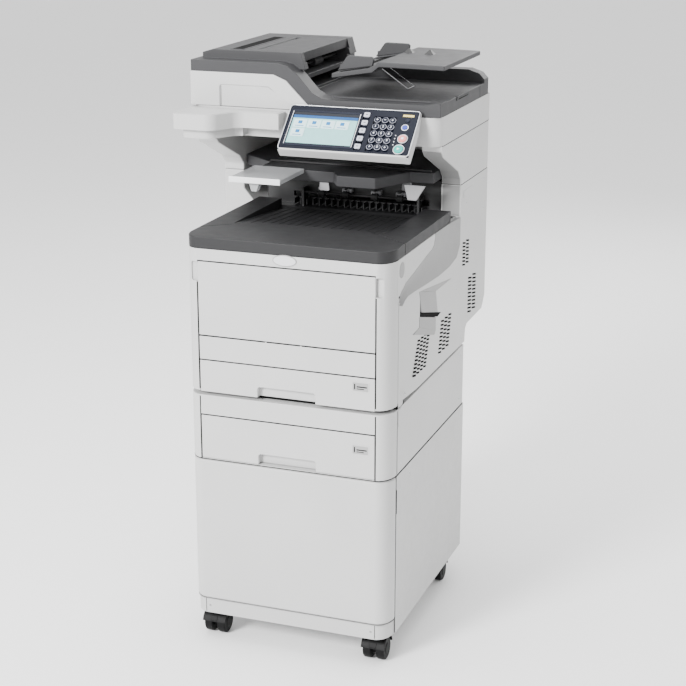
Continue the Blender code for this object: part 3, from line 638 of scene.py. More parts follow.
class COPIER_OT_seams(bpy.types.Operator):
    """Makes the dark lines between the covers: painted shadow in their gaps"""
    bl_idname = "copier.seams"
    bl_label = "Seams"

    def execute(self, context):
        half = context.scene.copier_sizes.seam / 2
        edge = FLAT_HALF
        near, far = edge - 0.0004, edge - 0.0004 + 2 * half
        sides = [(-far, -near), (near, far)]
        # Each line is a thin dark strip proud of the face: painted shadow in the gap between covers.
        lines = [face_line(x, (0.5760, 0.8060), FLUSH) for x in sides]
        lines.append(face_line((-edge, edge), (0.8493, 0.8493 + 2 * half), FLUSH))
        piece("front_cover_seams", "seam", "front_cover", lines)
        breaks = [-edge, -0.0455, -0.0415, 0.0310, 0.0350, edge]
        lines = [face_line(breaks[k:k + 2], (0.6908, 0.6929), FLUSH) for k in (0, 2, 4)]
        lines.append(face_line((-edge, edge), (0.6390, 0.6390 + 2 * half), FLUSH))
        lines += [face_line(x, (CABINET_TOP + 0.003, 0.5600), FLUSH) for x in sides]
        lines.append(face_line((-edge, edge), (0.5184, 0.5184 + 2 * half), FLUSH))
        piece("front_seams", "seam", "root", lines)
        # Painted shadow of the recessed plinth under the cabinet door.
        piece("plinth_shadow_line", "grip", "root", bow_line(0.0967, 0.0010))
        piece("cabinet_top_seam", "seam", "root", bow_line(CABINET_TOP + 0.0019, 0.0018, FLUSH))
        piece("cap_seam", "seam", "front_cover", bow_line(0.8761, 0.0012))
        for side, sign in (("left", -1), ("right", 1)):
            def upright(low, high, y=CORNER + 0.0003, face=HALF, depth=0.0007):
                return slab(sorted((sign * (face - depth - 0.001), sign * (face - depth))),
                            (y - half, y + half), (low, high))
            piece(f"side_seams_{side}", "seam", "root",
                  [upright(0.5800, 0.7960), upright(0.0640, CABINET_TOP - 0.001),
                   upright(CABINET_TOP + 0.003, 0.5600, depth=FLUSH)])
            # A dark band standing in for the shaded top of the cabinet where it shows past tray 2: painted
            # shade.
            rear = [slab(sorted((sign * (HALF - 0.003), sign * (HALF + 0.0001))), (CORNER, 0.530),
                         (CABINET_TOP - 0.0010, CABINET_TOP + 0.0030))]
            piece(f"cabinet_side_seam_{side}", "seam", "root", rear)
            ends = [face_line(sorted((sign * (near + 0.0005), sign * (near + 0.0015))), (0.0640, 0.0955),
                              0.0028)]
            piece(f"plinth_end_seam_{side}", "seam", "root", ends)
            tab = extruded(plate((0.0530, 0.0760), (0.5230, 0.5610), 0.002), "x",
                           *sorted((sign * (HALF - 0.001), sign * (HALF + 0.0010))))
            piece(f"stack_lock_plate_{side}", "white", "root", tab, edge=0.0006)
        slot = slab((HALF - 0.002, HALF + 0.0002), (CORNER - 0.0012, CORNER + 0.0018), (0.335, 0.388))
        piece("door_edge_slot", "seam", "root", slot)
        joints = []
        for z in (0.9472, 1.0580):
            joints.append(slab((RIGHT - 0.0020, RIGHT - 0.0007), (0.4600 if z < 1 else 0.310, 0.6720),
                               (z - half, z + half)))
            joints.append(slab((LEFT + 0.0007, LEFT + 0.0020), (0.4600 if z < 1 else 0.310, 0.6720),
                               (z - half, z + half)))
        # Thin grey skins over the column's front, darker than the lit white under them: painted shade.
        head = [(0.3070, 1.0450), (0.3200, 1.0320), (0.4360, 0.9820), (0.4553, 0.9620), (0.4553, 0.9485)]
        skin = [(y - 0.0006, z - 0.0003) for y, z in head] + [(y + 0.002, z + 0.001) for y,
                                                              z in reversed(head)]
        piece("column_face_shade_upper", "fender_shade", "root", extruded(skin, "x", 0.1900, 0.2292), edge=0.0004)
        piece("column_face_shade_lower", "fender_shade", "root",
              slab((0.1900, 0.2292), (0.4547, 0.4570), (0.8790, 0.9455)),
              edge=0.0005)
        joints.append(slab((0.1885, 0.2290), (0.4558, 0.4570), (0.9472 - half, 0.9472 + half)))
        piece("column_seams", "seam", "root", joints)
        ring = rounded([(LEFT + 0.0008, 0.2888, 0.027), (RIGHT - 0.0008, 0.2888, 0.027),
                        (RIGHT - 0.0008, 0.6720, 0),
                        (LEFT + 0.0008, 0.6720, 0)])
        inner = rounded([(LEFT + 0.005, 0.293, 0.023), (RIGHT - 0.005, 0.293, 0.023),
                         (RIGHT - 0.005, 0.668, 0),
                         (LEFT + 0.005, 0.668, 0)])
        piece("lid_seam", "seam", "root", extruded(ring, "z", 1.1184, 1.11925),
              cut=[extruded(inner, "z", 1.0, 1.2)])
        return {"FINISHED"}


class COPIER_OT_vents(bpy.types.Operator):
    """Cuts the look of the cooling slots into both sides"""
    bl_idname = "copier.vents"
    bl_label = "Vents"

    def execute(self, context):
        rows = context.scene.copier_sizes.vent_rows
        blocks = {
            "column": vent(7, 2, (0.474, 0.530), (0.757, 0.815), -0.2, (0.024, 0.0042)),
            "board": vent(10, 2, (0.524, 0.596), (0.634, 0.722), -0.2, (0.030, 0.0044)),
            "fan": vent(9, 3, (0.318, 0.402), (0.604, 0.678), -0.2, (0.024, 0.0044), 0.020),
            "fuser": vent(rows, 4, (0.152, 0.244), (0.606, 0.682), -0.2, (0.0195, 0.0044), 0.030),
        }
        for name, outlines in blocks.items():
            for side, sign in (("right", 1), ("left", -1)):
                solids = [extruded(outline, "x", RIGHT - 0.002, RIGHT + 0.00015) for outline in outlines]
                if sign < 0:
                    solids = [mirrored(solid) for solid in solids]
                piece(f"{name}_vent_{side}", "seam", "root", solids)
        return {"FINISHED"}


class COPIER_OT_screws(bpy.types.Operator):
    """Puts the screw heads on the sides, the cabinet and the back"""
    bl_idname = "copier.screws"
    bl_label = "Screws"

    def execute(self, context):
        radius = context.scene.copier_sizes.screw
        spots = {"right": [(0.075, 0.090), (0.075, 0.380), (0.510, 0.090), (0.510, 0.395), (0.075, 0.440),
                           (0.500, 0.440), (0.130, 0.395), (0.300, 0.120), (0.400, 0.395), (0.500, 0.545),
                           (0.075, 0.545)],
                 "upper": [(0.070, 0.592), (0.480, 0.592), (0.640, 0.640), (0.640, 0.860), (0.430, 0.720),
                           (0.500, 0.900), (0.640, 0.930)]}
        for side, sign in (("right", 1), ("left", -1)):
            solids, slots = [], []
            for group, face in (("right", HALF), ("upper", RIGHT)):
                for y, z in spots[group]:
                    if sign < 0 and z > 0.86:
                        continue
                    solids.append(domed("x", (0, y, z), radius, sign * (face - 0.001),
                                        sign * (face + 0.0007), 20))
                    x = sorted((sign * (face + 0.0003), sign * (face + 0.0008)))
                    slots += [slab(x, (y - radius * 0.6, y + radius * 0.6), (z - 0.0003, z + 0.0003)),
                              slab(x, (y - 0.0003, y + 0.0003), (z - radius * 0.6, z + radius * 0.6))]
            piece(f"screws_{side}", "silver", "root", solids)
            piece(f"screw_slots_{side}", "seam", "root", slots)
        backs = [(x, z) for x in (-0.200, 0.200) for z in (0.635, 0.860)] + [(-0.270, 1.040), (0.170, 1.040)]
        piece("screws_back", "silver", "root",
              [domed("y", (x, 0, z), radius, 0.672, 0.6745, 20) for x, z in backs])
        return {"FINISHED"}


class COPIER_OT_front_marks(bpy.types.Operator):
    """Makes the drawers' label windows and the blank badge"""
    bl_idname = "copier.front_marks"
    bl_label = "Front marks"

    def execute(self, context):
        for name, low in (("drawer_1", 0.6085), ("drawer_2", 0.4735)):
            frame_outline = plate((0.1430, 0.1800), (low, low + 0.0215), 0.002)
            hole = plate((0.1450, 0.1780), (low + 0.002, low + 0.0195), 0.001)
            piece(f"{name}_label_frame", "white", name, extruded(frame_outline, "y", -0.0006, 0.001),
                  cut=[extruded(hole, "y", -0.01, 0.01)], edge=0.0002)
            piece(f"{name}_label", "label", name, extruded(hole, "y", -0.0002, 0.001))
            marks = [slab((0.1475, 0.1500), (-0.0004, 0.001), (low + 0.0050, low + 0.0165)),
                     slab((0.1530, 0.1750), (-0.0004, 0.001), (low + 0.0095, low + 0.0120)),
                     slab((0.1530, 0.1690), (-0.0004, 0.001), (low + 0.0055, low + 0.0072))]
            piece(f"{name}_label_marks", "seam", name, marks)
        middle = 0.866
        turns = [2 * math.pi * k / 48 for k in range(48)]
        pill = [(0.026 * math.cos(turn), middle + 0.012 * math.sin(turn)) for turn in turns]
        piece("badge_rim", "grip", "front_cover", extruded(pill, "y", -0.0012, 0.002), edge=0.0005)
        inner = [(x * 0.92, middle + (z - middle) * 0.84) for x, z in pill]
        piece("badge_face", "badge", "front_cover", extruded(inner, "y", -0.0015, 0.001), edge=0.0002)
        return {"FINISHED"}


class COPIER_OT_lid_walls(bpy.types.Operator):
    """Makes the lid's white lower walls, the recess, the top slot, the catch and the backing sheet"""
    bl_idname = "copier.lid_walls"
    bl_label = "Lid walls"

    def execute(self, context):
        low = LID_LOW.z
        wall = [(LEFT - 0.0004, low), (-0.0480, low), (-0.0630, 1.1346), (-0.1095, 1.1808),
                (-0.1383, LID_WALL_TOP),
                (LEFT - 0.0004, LID_WALL_TOP)]
        front = SCANNER_FRONT
        recess = rounded([(-0.2630, low - 0.01, 0), (-0.0720, low - 0.01, 0), (-0.1500, 1.1660, 0.012),
                          (-0.2630, 1.1660, 0.006)])
        piece("lid_front_wall", "white", "document_lid", extruded(wall, "y", front - 0.0030, front + 0.004),
              cut=[extruded(recess, "y", front - 0.01, front - 0.0002)], edge=0.0014)
        ramp_edge = [(-0.0790, low + 0.001), (-0.1500, 1.1648), (-0.1750, 1.1600), (-0.1180, low + 0.001)]
        rows = [[(x, front - 0.0004, z) for x, z in ramp_edge],
                [(ramp_edge[0][0], front - 0.0026, ramp_edge[0][1]),
                 (ramp_edge[1][0], front - 0.0026, ramp_edge[1][1]),
                 (ramp_edge[2][0], front - 0.0005, ramp_edge[2][1]),
                 (ramp_edge[3][0], front - 0.0005, ramp_edge[3][1])]]
        piece("lid_recess_facet", "white", "document_lid", loft(rows), edge=0.0004)
        piece("lid_recess_shadow", "grip", "document_lid",
              slab((-0.2628, -0.2600), (front - 0.0012, front + 0.001), (low + 0.001, 1.1630)))
        side = [(front + 0.0005, low), (LID_HIGH.y, low), (LID_HIGH.y, LID_WALL_TOP),
                (front + 0.0005, LID_WALL_TOP)]
        piece("lid_left_wall", "white", "document_lid",
              extruded(side, "x", LEFT - 0.0018, LEFT + 0.002), edge=0.0012)
        slot = plate((-0.2560, -0.2300), (0.3400, 0.5800), 0.004)
        piece("feeder_top_slot", "seam", "document_lid", extruded(slot, "z", 1.2340, 1.2352))
        rim = plate((-0.2600, -0.2260), (0.3360, 0.5840), 0.006)
        piece("feeder_top_slot_rim", "charcoal", "document_lid", extruded(rim, "z", 1.2330, 1.2359),
              cut=[extruded(slot, "z", 1.2, 1.3)], edge=0.0006)
        end = RIGHT
        piece("lid_end_seam", "seam", "document_lid", slab((end - 0.001, end + 0.0002), (0.589, 0.5902),
                                                           (low + 0.001, 1.1465)))
        catch = rounded([(0.400, 1.1385, 0.003), (0.500, 1.1385, 0.003), (0.494, 1.1480, 0.003),
                         (0.406, 1.1480, 0.003)])
        piece("lid_catch", "output", "document_lid", extruded(catch, "x", end - 0.004, end + 0.0016),
              edge=0.0008)
        piece("lid_catch_gap", "seam", "document_lid",
              slab((end - 0.004, end + 0.0019), (0.415, 0.485), (1.1405, 1.1420)))
        mat = plate((-0.2250, 0.1980), (0.338, 0.628), 0.004)
        piece("lid_backing_sheet", "white", "document_lid", extruded(mat, "z", low - 0.0009, low - 0.0002),
              edge=0.0002)
        return {"FINISHED"}


DOCUMENT_BUMPS = ((0.0900, 0.5178), (0.1394, 0.5107))
STOP_WIRE = ((0.0622, 0.40, 1.2031), (0.1249, 0.40, 1.1597), (0.1262, 0.44, 1.1603), (0.0709, 0.44, 1.1979))


class COPIER_OT_document_tray(bpy.types.Operator):
    """Makes the document tray's bumps and stop wire, and the track, fences and feet of its guides"""
    bl_idname = "copier.document_tray"
    bl_label = "Document tray"

    def execute(self, context):
        tents = []
        for x, y in DOCUMENT_BUMPS:
            ring = [(x - 0.011, y - 0.011, 1.2200), (x + 0.011, y - 0.011, 1.2200),
                    (x + 0.011, y + 0.011, 1.2200),
                    (x - 0.011, y + 0.011, 1.2200)]
            top = [(x - 0.001, y - 0.001, 1.2310), (x + 0.001, y - 0.001, 1.2310),
                   (x + 0.001, y + 0.001, 1.2310),
                   (x - 0.001, y + 0.001, 1.2310)]
            tents.append(loft([ring, top]))
        piece("document_tray_bumps", "black", "document_tray", tents, edge=0.0004)
        track = plate((0.0100, 0.0320), (0.362, 0.594), 0.002)
        turn = Matrix.Translation((0, 0, 1.1981)) @ Matrix.Rotation(-math.radians(10), 4, "Y")
        piece("document_guide_track", "seam", "document_tray",
              placed(extruded(track, "z", -0.0010, 0.0002), turn))
        for end, y, way in (("front", 0.352, 1), ("rear", 0.604, -1)):
            foot = extruded([(-0.010, 1.1974), (0.050, 1.2078), (0.050, 1.2100), (-0.010, 1.1996)], "y",
                            *sorted((y + way * 0.002, y + way * 0.034)))
            fence = rounded([(-0.016, 1.1990, 0), (0.062, 1.2110, 0), (0.066, 1.2300, 0.006),
                             (0.006, 1.2310, 0.010)])
            piece(f"document_guide_fence_{end}", "charcoal", f"document_guide_{end}",
                  extruded(fence, "y", *sorted((y - way * 0.0030, y + way * 0.0060))), edge=0.0015)
            piece(f"document_guide_foot_{end}", "charcoal", f"document_guide_{end}", foot, edge=0.0008)
        piece("feeder_stop_wire", "silver", "document_tray", tube(STOP_WIRE, 0.0011, 8))
        return {"FINISHED"}


class COPIER_OT_panel_face(bpy.types.Operator):
    """Makes the panel's silver edge, its lip, the screen's page and its tiles"""
    bl_idname = "copier.panel_face"
    bl_label = "Panel face"

    def execute(self, context):
        wide = (PANEL_HIGH.x - PANEL_LOW.x) / 2
        body = "control_panel"
        outer = plate((-wide - 0.0004, wide + 0.0004), (-0.0584, 0.0584), 0.007)
        inner = plate((-wide + 0.0013, wide - 0.0013), (-0.0571, 0.0571), 0.0062)
        piece("panel_silver_edge", "silver", body, on_panel(extruded(outer, "z", -0.0030, 0.0012)),
              cut=[on_panel(extruded(inner, "z", -0.1, 0.1))], edge=0.0006)
        under = [(-0.0590, -0.0245), (0.0160, -0.0245), (0.0590, -0.0086), (0.0590, -0.0032),
                 (-0.0590, -0.0032)]
        piece("panel_back_shell", "white", body,
              on_panel(extruded(under, "x", -wide - 0.0002, wide + 0.0002)), edge=0.0030,
              cut=[on_panel(extruded([(-0.0555, -0.0215), (0.0150, -0.0215), (0.0555, -0.0066),
                                      (0.0555, 0.01),
                                      (-0.0555, 0.01)], "x", -wide + 0.0028, wide - 0.0028))])
        lip = [(-0.0600, -0.0120), (-0.0560, -0.0120), (-0.0560, 0.0016), (-0.0600, 0.0010)]
        piece("panel_lower_lip", "white", body, on_panel(extruded(lip, "x", -wide + 0.004, wide - 0.004)),
              edge=0.0012)
        ring = plate((-0.1345, 0.0185), (-0.0475, 0.0455), 0.004)
        hole = plate((-0.1300, 0.0140), (-0.0430, 0.0410), 0.002)
        piece("screen_bezel", "navy_key", body, on_panel(extruded(ring, "z", -0.0010, 0.0010)),
              cut=[on_panel(extruded(hole, "z", -0.1, 0.1))], edge=0.0005)
        piece("screen_bezel_strips", "silver", body,
              [tile(x, (-0.0440, 0.0420), (-0.0005, 0.0013), 0.0003) for x in ((-0.1332, -0.1322),
                                                                               (0.0162, 0.0172))])
        top = 0.0002
        piece("screen_header", "screen_dark", body, tile((-0.1300, 0.0140), (0.0330, 0.0410), (-0.0008, top)))
        piece("screen_title_bar", "screen_bar", body,
              tile((-0.1295, 0.0135), (0.0255, 0.0325), (-0.0008, top)))
        tiles, marks = [], []
        for column, row in ((0, 0), (1, 0), (2, 0), (3, 0), (0, 1)):
            x, y = -0.1110 + 0.0312 * column, 0.0110 - 0.0235 * row
            tiles.append(tile((x - 0.0145, x + 0.0145), (y - 0.0105, y + 0.0105), (-0.0008, top), 0.0012))
            marks.append(tile((x - 0.0045, x + 0.0045), (y - 0.0010, y + 0.0070), (-0.0008, top + 0.0001),
                              0.0012))
            marks.append(tile((x - 0.0095, x + 0.0095), (y - 0.0072, y - 0.0056), (-0.0008, top + 0.0001),
                              0.0004))
        piece("screen_tiles", "screen_tile", body, tiles)
        piece("screen_tile_marks", "screen_mark", body, marks)
        piece("screen_status_bar", "screen_dark", body,
              tile((-0.1295, 0.0135), (-0.0430, -0.0405), (-0.0008, top)))
        return {"FINISHED"}


class COPIER_OT_panel_keys(bpy.types.Operator):
    """Makes the key caps, their figures and marks, the lamps and the power key"""
    bl_idname = "copier.panel_keys"
    bl_label = "Panel keys"

    def execute(self, context):
        def on_key(x, y, z):
            return TO_PANEL @ Matrix.Translation((x, y, z))

        labels = ["123", "456", "789", "*0#"]
        for row in range(5):
            for column in range(3):
                x, y = 0.056 + 0.0165 * column, 0.031 - 0.0175 * row
                cap = on_panel(domed("z", (x, y, 0), 0.0062, -0.001, 0.0022, 28))
                ring = on_panel(turned([(0.0004, 0.0069), (0.0009, 0.0069)],
                                       "z", (x, y, 0), 28))
                piece(f"number_key_{row}_{column}", "navy_key", "number_keys", cap)
                piece(f"number_key_ring_{row}_{column}", "key", "number_keys", ring)
                if row:
                    text = labels[row - 1][column]
                    if text.isdigit():
                        figures(f"number_key_figure_{text}", text, "key_print", "number_keys",
                                on_key(x, y, 0.0021), 0.0085)
                        continue
                mark = [tile((x - 0.0022, x + 0.0022), (y - 0.0004, y + 0.0004), (0.001, 0.0024), 0.0002)]
                if column != 1:
                    mark.append(tile((x - 0.0004, x + 0.0004), (y - 0.0022, y + 0.0022), (0.001, 0.0024),
                                     0.0002))
                piece(f"number_key_mark_{row}_{column}", "key_print", "number_keys", mark)
        for order, y in enumerate((-0.040, -0.0195, 0.001, 0.0215, 0.042)):
            piece(f"function_key_{order}", "key", "function_keys",
                  tile((0.0236, 0.0364), (y - 0.0058, y + 0.0058), (-0.001, 0.0020), 0.0018), edge=0.0006)
            piece(f"function_key_mark_{order}", "navy", "function_keys",
                  tile((0.0275, 0.0325), (y - 0.0008, y + 0.0008), (0.001, 0.0022), 0.0004))
        start, power = (0.119, -0.041), (0.119, 0.0150)
        for name, x, y, scale, body in (("start", *start, 1.0, "start_button"),
                                        ("stop", 0.121, -0.014, 0.9, "stop_button")):
            outer = [(-0.001, 0.0126 * scale), (0.0012, 0.0120 * scale)]
            piece(f"{name}_key_collar", "silver", "control_panel",
                  on_panel(turned(outer, "z", (x, y, 0), 40)),
                  cut=[on_panel(turned([(-0.05, 0.0106 * scale), (0.05, 0.0106 * scale)], "z", (x, y, 0),
                                       40))],
                  edge=0.0004)
            look = "teal" if name == "start" else "pink"
            piece(f"{name}_key_cap", look, body,
                  on_panel(domed("z", (x, y, 0), 0.0099 * scale, -0.001, 0.0030, 40)))
        arrow = [(-0.0030, -0.0030), (0.0034, 0.0), (-0.0030, 0.0030)]
        piece("start_key_mark", "key_print", "start_button",
              on_panel(extruded([(start[0] + x, start[1] + y) for x, y in arrow], "z", 0.001, 0.0033)))
        piece("stop_key_mark", "key_print", "stop_button",
              tile((0.1185, 0.1235), (-0.0165, -0.0115), (0.001, 0.0033), 0.0004))
        piece("power_key", "blue", "control_panel",
              on_panel(domed("z", (*power, 0), 0.0062, -0.001, 0.0022)))
        piece("power_key_ring", "silver", "control_panel",
              on_panel(turned([(-0.001, 0.0078), (0.0010, 0.0075)], "z", (*power, 0), 32)),
              cut=[on_panel(turned([(-0.05, 0.0064), (0.05, 0.0064)], "z", (*power, 0), 32))])
        piece("reset_key", "navy_key", "control_panel",
              on_panel(domed("z", (0.121, 0.0330, 0), 0.0048, -0.001, 0.0018)))
        piece("lamp_window", "amber", "control_panel",
              tile((0.108, 0.132), (0.0430, 0.0480), (-0.001, 0.0006)))
        piece("lamp_dots", "key_print", "control_panel",
              [on_panel(domed("z", (0.1041, y, 0), 0.0012, -0.001, 0.0006, 14))
               for y in (-0.030, -0.022, -0.014, -0.006)])
        return {"FINISHED"}


class COPIER_OT_output_tray(bpy.types.Operator):
    """Makes the ribs of the sheet well, the rollers' clips and the fittings of the deck above it"""
    bl_idname = "copier.output_tray"
    bl_label = "Output tray"

    def execute(self, context):
        ribs = []
        for k in range(17):
            x = -0.160 + 0.0194 * k
            ribs.append(extruded([(0.160, 0.8965), (0.385, 0.8812), (0.385, 0.8824), (0.160, 0.8985)], "x",
                                 x - 0.0008, x + 0.0008))
        piece("output_tray_ribs", "output", "output_tray_cover", ribs)
        seam = [(0.1195, 0.1640), (HALF - 0.0004, 0.0858), (HALF - 0.0004, 0.0872), (0.1195, 0.1654)]
        for side, outline in (("right", seam), ("left", [(-x, y) for x, y in reversed(seam)])):
            piece(f"cap_seam_{side}", "seam", "root", extruded(outline, "z", 0.8780, 0.8992))
        clips = []
        for x in (-0.085, -0.028, 0.040, 0.098):
            clips.append(slab((x - 0.011, x + 0.011), (0.4400, 0.4545), (0.9150, 0.9240)))
            clips.append(slab((x - 0.003, x + 0.003), (0.4270, 0.4545), (0.9210, 0.9240)))
        piece("exit_roller_clips", "grey", "root", clips, edge=0.0008)
        comb = [slab((x - 0.0011, x + 0.0011), (0.4300, 0.4550), (0.8830, 0.8960))
                for x in (-0.150 + 0.0150 * k for k in range(21))]
        piece("exit_comb", "output", "root", comb, edge=0.0003)
        # The finger recess is only painted: two grey ovals proud of the side give the painted shade of the
        # hollow.
        recess = plate((0.0500, 0.0820), (0.8345, 0.8675), 0.0155, 10)
        piece("cover_finger_recess_shade", "fender_shade", "front_cover",
              extruded(recess, "x", HALF - 0.002, HALF + 0.0003), edge=0.0003)
        inner = plate((0.0530, 0.0790), (0.8375, 0.8645), 0.0125, 10)
        piece("cover_finger_hollow_shade", "grip", "front_cover", extruded(inner, "x", HALF - 0.002, HALF + 0.0005))
        tabs = [extruded(rounded([(x - 0.012, 0.938, 0.003), (x + 0.012, 0.938, 0.003), (x + 0.010, 0.958, 0),
                                  (x - 0.010, 0.958, 0)]), "y", y, y + 0.003)
                for x, y in ((-0.045, 0.343), (0.125, 0.400))]
        piece("deck_sheet_tabs", "grey", "root", tabs, edge=0.0008)
        bracket = rounded([(0.128, 0.9570, 0), (0.176, 0.9570, 0), (0.156, 0.9240, 0.003),
                           (0.136, 0.9240, 0.003)])
        piece("deck_sheet_guide", "grey", "root", extruded(bracket, "y", 0.372, 0.376), edge=0.0010)
        # A pale strip along the clear staple tray's front edge: painted highlight.
        rim = [slab((-0.205, -0.088), (0.1930, 0.1958), (0.9745, 0.9870))]
        piece("staple_tray_edge_highlight", "pale_and_highlight", "root", rim, edge=0.0010)
        ledge = [slab((-0.194, 0.180), (0.4000, 0.4030), (0.9830, 0.9875))]
        piece("deck_ledge", "output", "root", ledge, edge=0.0010)
        patch = plate((0.475, 0.548), (0.915, 0.930), 0.001)
        piece("side_patch_cover", "white", "root", extruded(patch, "x", RIGHT - 0.001, RIGHT + 0.0009),
              edge=0.0005)
        return {"FINISHED"}


class COPIER_OT_lower_fittings(bpy.types.Operator):
    """Makes the casters' hub caps and brake pedals, the plinth screws and the latch tabs by the drawers"""
    bl_idname = "copier.lower_fittings"
    bl_label = "Lower fittings"

    def execute(self, context):
        for side, sign in (("left", -1), ("right", 1)):
            for end, y in (("front", 0.062), ("rear", 0.478)):
                name = f"caster_{end}_{side}"
                wheel = (sign * 0.1835, y - 0.017, 0.025)
                caps = [turned([(d * 0.0236, 0.0135), (d * 0.0252, 0.0120), (d * 0.0258, 0.0060)], "x",
                               wheel, 28)
                        for d in (-1, 1)]
                piece(f"{name}_hub_caps", "caster", f"{name}_wheels", caps, edge=0.0004)
                if end == "front":
                    pedal = [(y - 0.0455, 0.0350), (y - 0.0425, 0.0310), (y - 0.0380, 0.0420),
                             (y - 0.0405, 0.0450)]
                    piece(f"{name}_brake", "caster", f"{name}_fork",
                          extruded(pedal, "x", wheel[0] - 0.008, wheel[0] + 0.008), edge=0.0010)
                plate_z = 0.0618
                piece(f"{name}_top_plate", "steel", "root",
                      extruded(plate((wheel[0] - 0.020, wheel[0] + 0.020), (y - 0.020, y + 0.020), 0.003),
                               "z", plate_z - 0.0028, plate_z), edge=0.0004,
                      cut=[turned([(-0.1, 0.0142), (0.1, 0.0142)], "z", (wheel[0], y, plate_z), 28)])
        spots = [(x, 0.0790) for x in (-0.184, 0.184)]
        piece("plinth_screws", "grip", "root",
              [domed("y", (x, 0, z), 0.0026, 0.0045, 0.0022, 20) for x, z in spots])
        for side, sign in (("left", -1), ("right", 1)):
            outline = [(0.050, 0.5645), (0.084, 0.5645), (0.084, 0.5755), (0.050, 0.5755)]
            tab = extruded(outline, "x", *sorted((sign * 0.2120, sign * (HALF - 0.0008))))
            piece(f"stack_lock_{side}", "white", "root", tab, edge=0.0008)
            gap = [slab(sorted((sign * 0.2120, sign * (HALF - 0.0002))), (y, y + 0.0020), (0.5632, 0.5764))
                   for y in (0.0480, 0.0842)]
            piece(f"stack_lock_gap_{side}", "seam", "root", gap)
        # A dark sheet in the gap between the engine and tray 2: painted shadow.
        outline = plate((-0.2120, 0.2120), (0.022, 0.496), 0.020)
        piece("stack_gap_shadow", "seam", "root", extruded(outline, "z", 0.5631, 0.5690), edge=0.0006)
        return {"FINISHED"}


class COPIER_OT_inside(bpy.types.Operator):
    """Makes the drums' coloured grips and ends, the drawers' guides and the panel behind the cover"""
    bl_idname = "copier.inside"
    bl_label = "Inside"

    def execute(self, context):
        for order, colour in enumerate(("yellow", "magenta", "cyan", "black")):
            y = 0.100 + 0.078 * order
            grip = extruded(rounded([(y + 0.010, 0.8195, 0), (y + 0.058, 0.8195, 0),
                                     (y + 0.052, 0.8270, 0.003),
                                     (y + 0.016, 0.8270, 0.003)]), "x", -0.060, 0.060)
            piece(f"toner_grip_{colour}", f"toner_{colour}", "root", grip, edge=0.0008)
            ends = [extruded(rounded([(y + 0.012, 0.730, 0.006), (y + 0.056, 0.730, 0.006),
                                      (y + 0.056, 0.790, 0.010),
                                      (y + 0.012, 0.790, 0.010)]), "x", *sorted((s * 0.1895, s * 0.1925)))
                    for s in (-1, 1)]
            piece(f"toner_end_{colour}", f"toner_{colour}", "root", ends, edge=0.0006)
        for name, high in (("drawer_1", 0.6388), ("drawer_2", 0.5182)):
            floor = DRAWER_LOW[name] + 0.0036
            guides = []
            for x in (-0.152, 0.149):
                guides.append(slab((x, x + 0.003), (0.080, 0.300), (floor + 0.0002, high - 0.014)))
            piece(f"{name}_guides", "teal_trim", name, guides, edge=0.0008)
            stop = [slab((-0.030, 0.030), (0.3080, 0.3110), (floor + 0.0002, high - 0.016)),
                    slab((-0.045, 0.045), (0.3080, 0.3340), (floor + 0.0002, floor + 0.0022))]
            piece(f"{name}_stop", "teal_trim", name, stop, edge=0.0008)
        piece("inner_front_panel", "grey", "root",
              [slab((-0.2000, 0.2000), (0.0780, 0.0800), (0.6780, 0.8200))],
              cut=[extruded(plate((x - 0.0420, x + 0.0420), (0.700, 0.800), 0.006), "y", 0.0, 0.2)
                   for x in (-0.140, -0.047, 0.047, 0.140)], edge=0.0006)
        return {"FINISHED"}


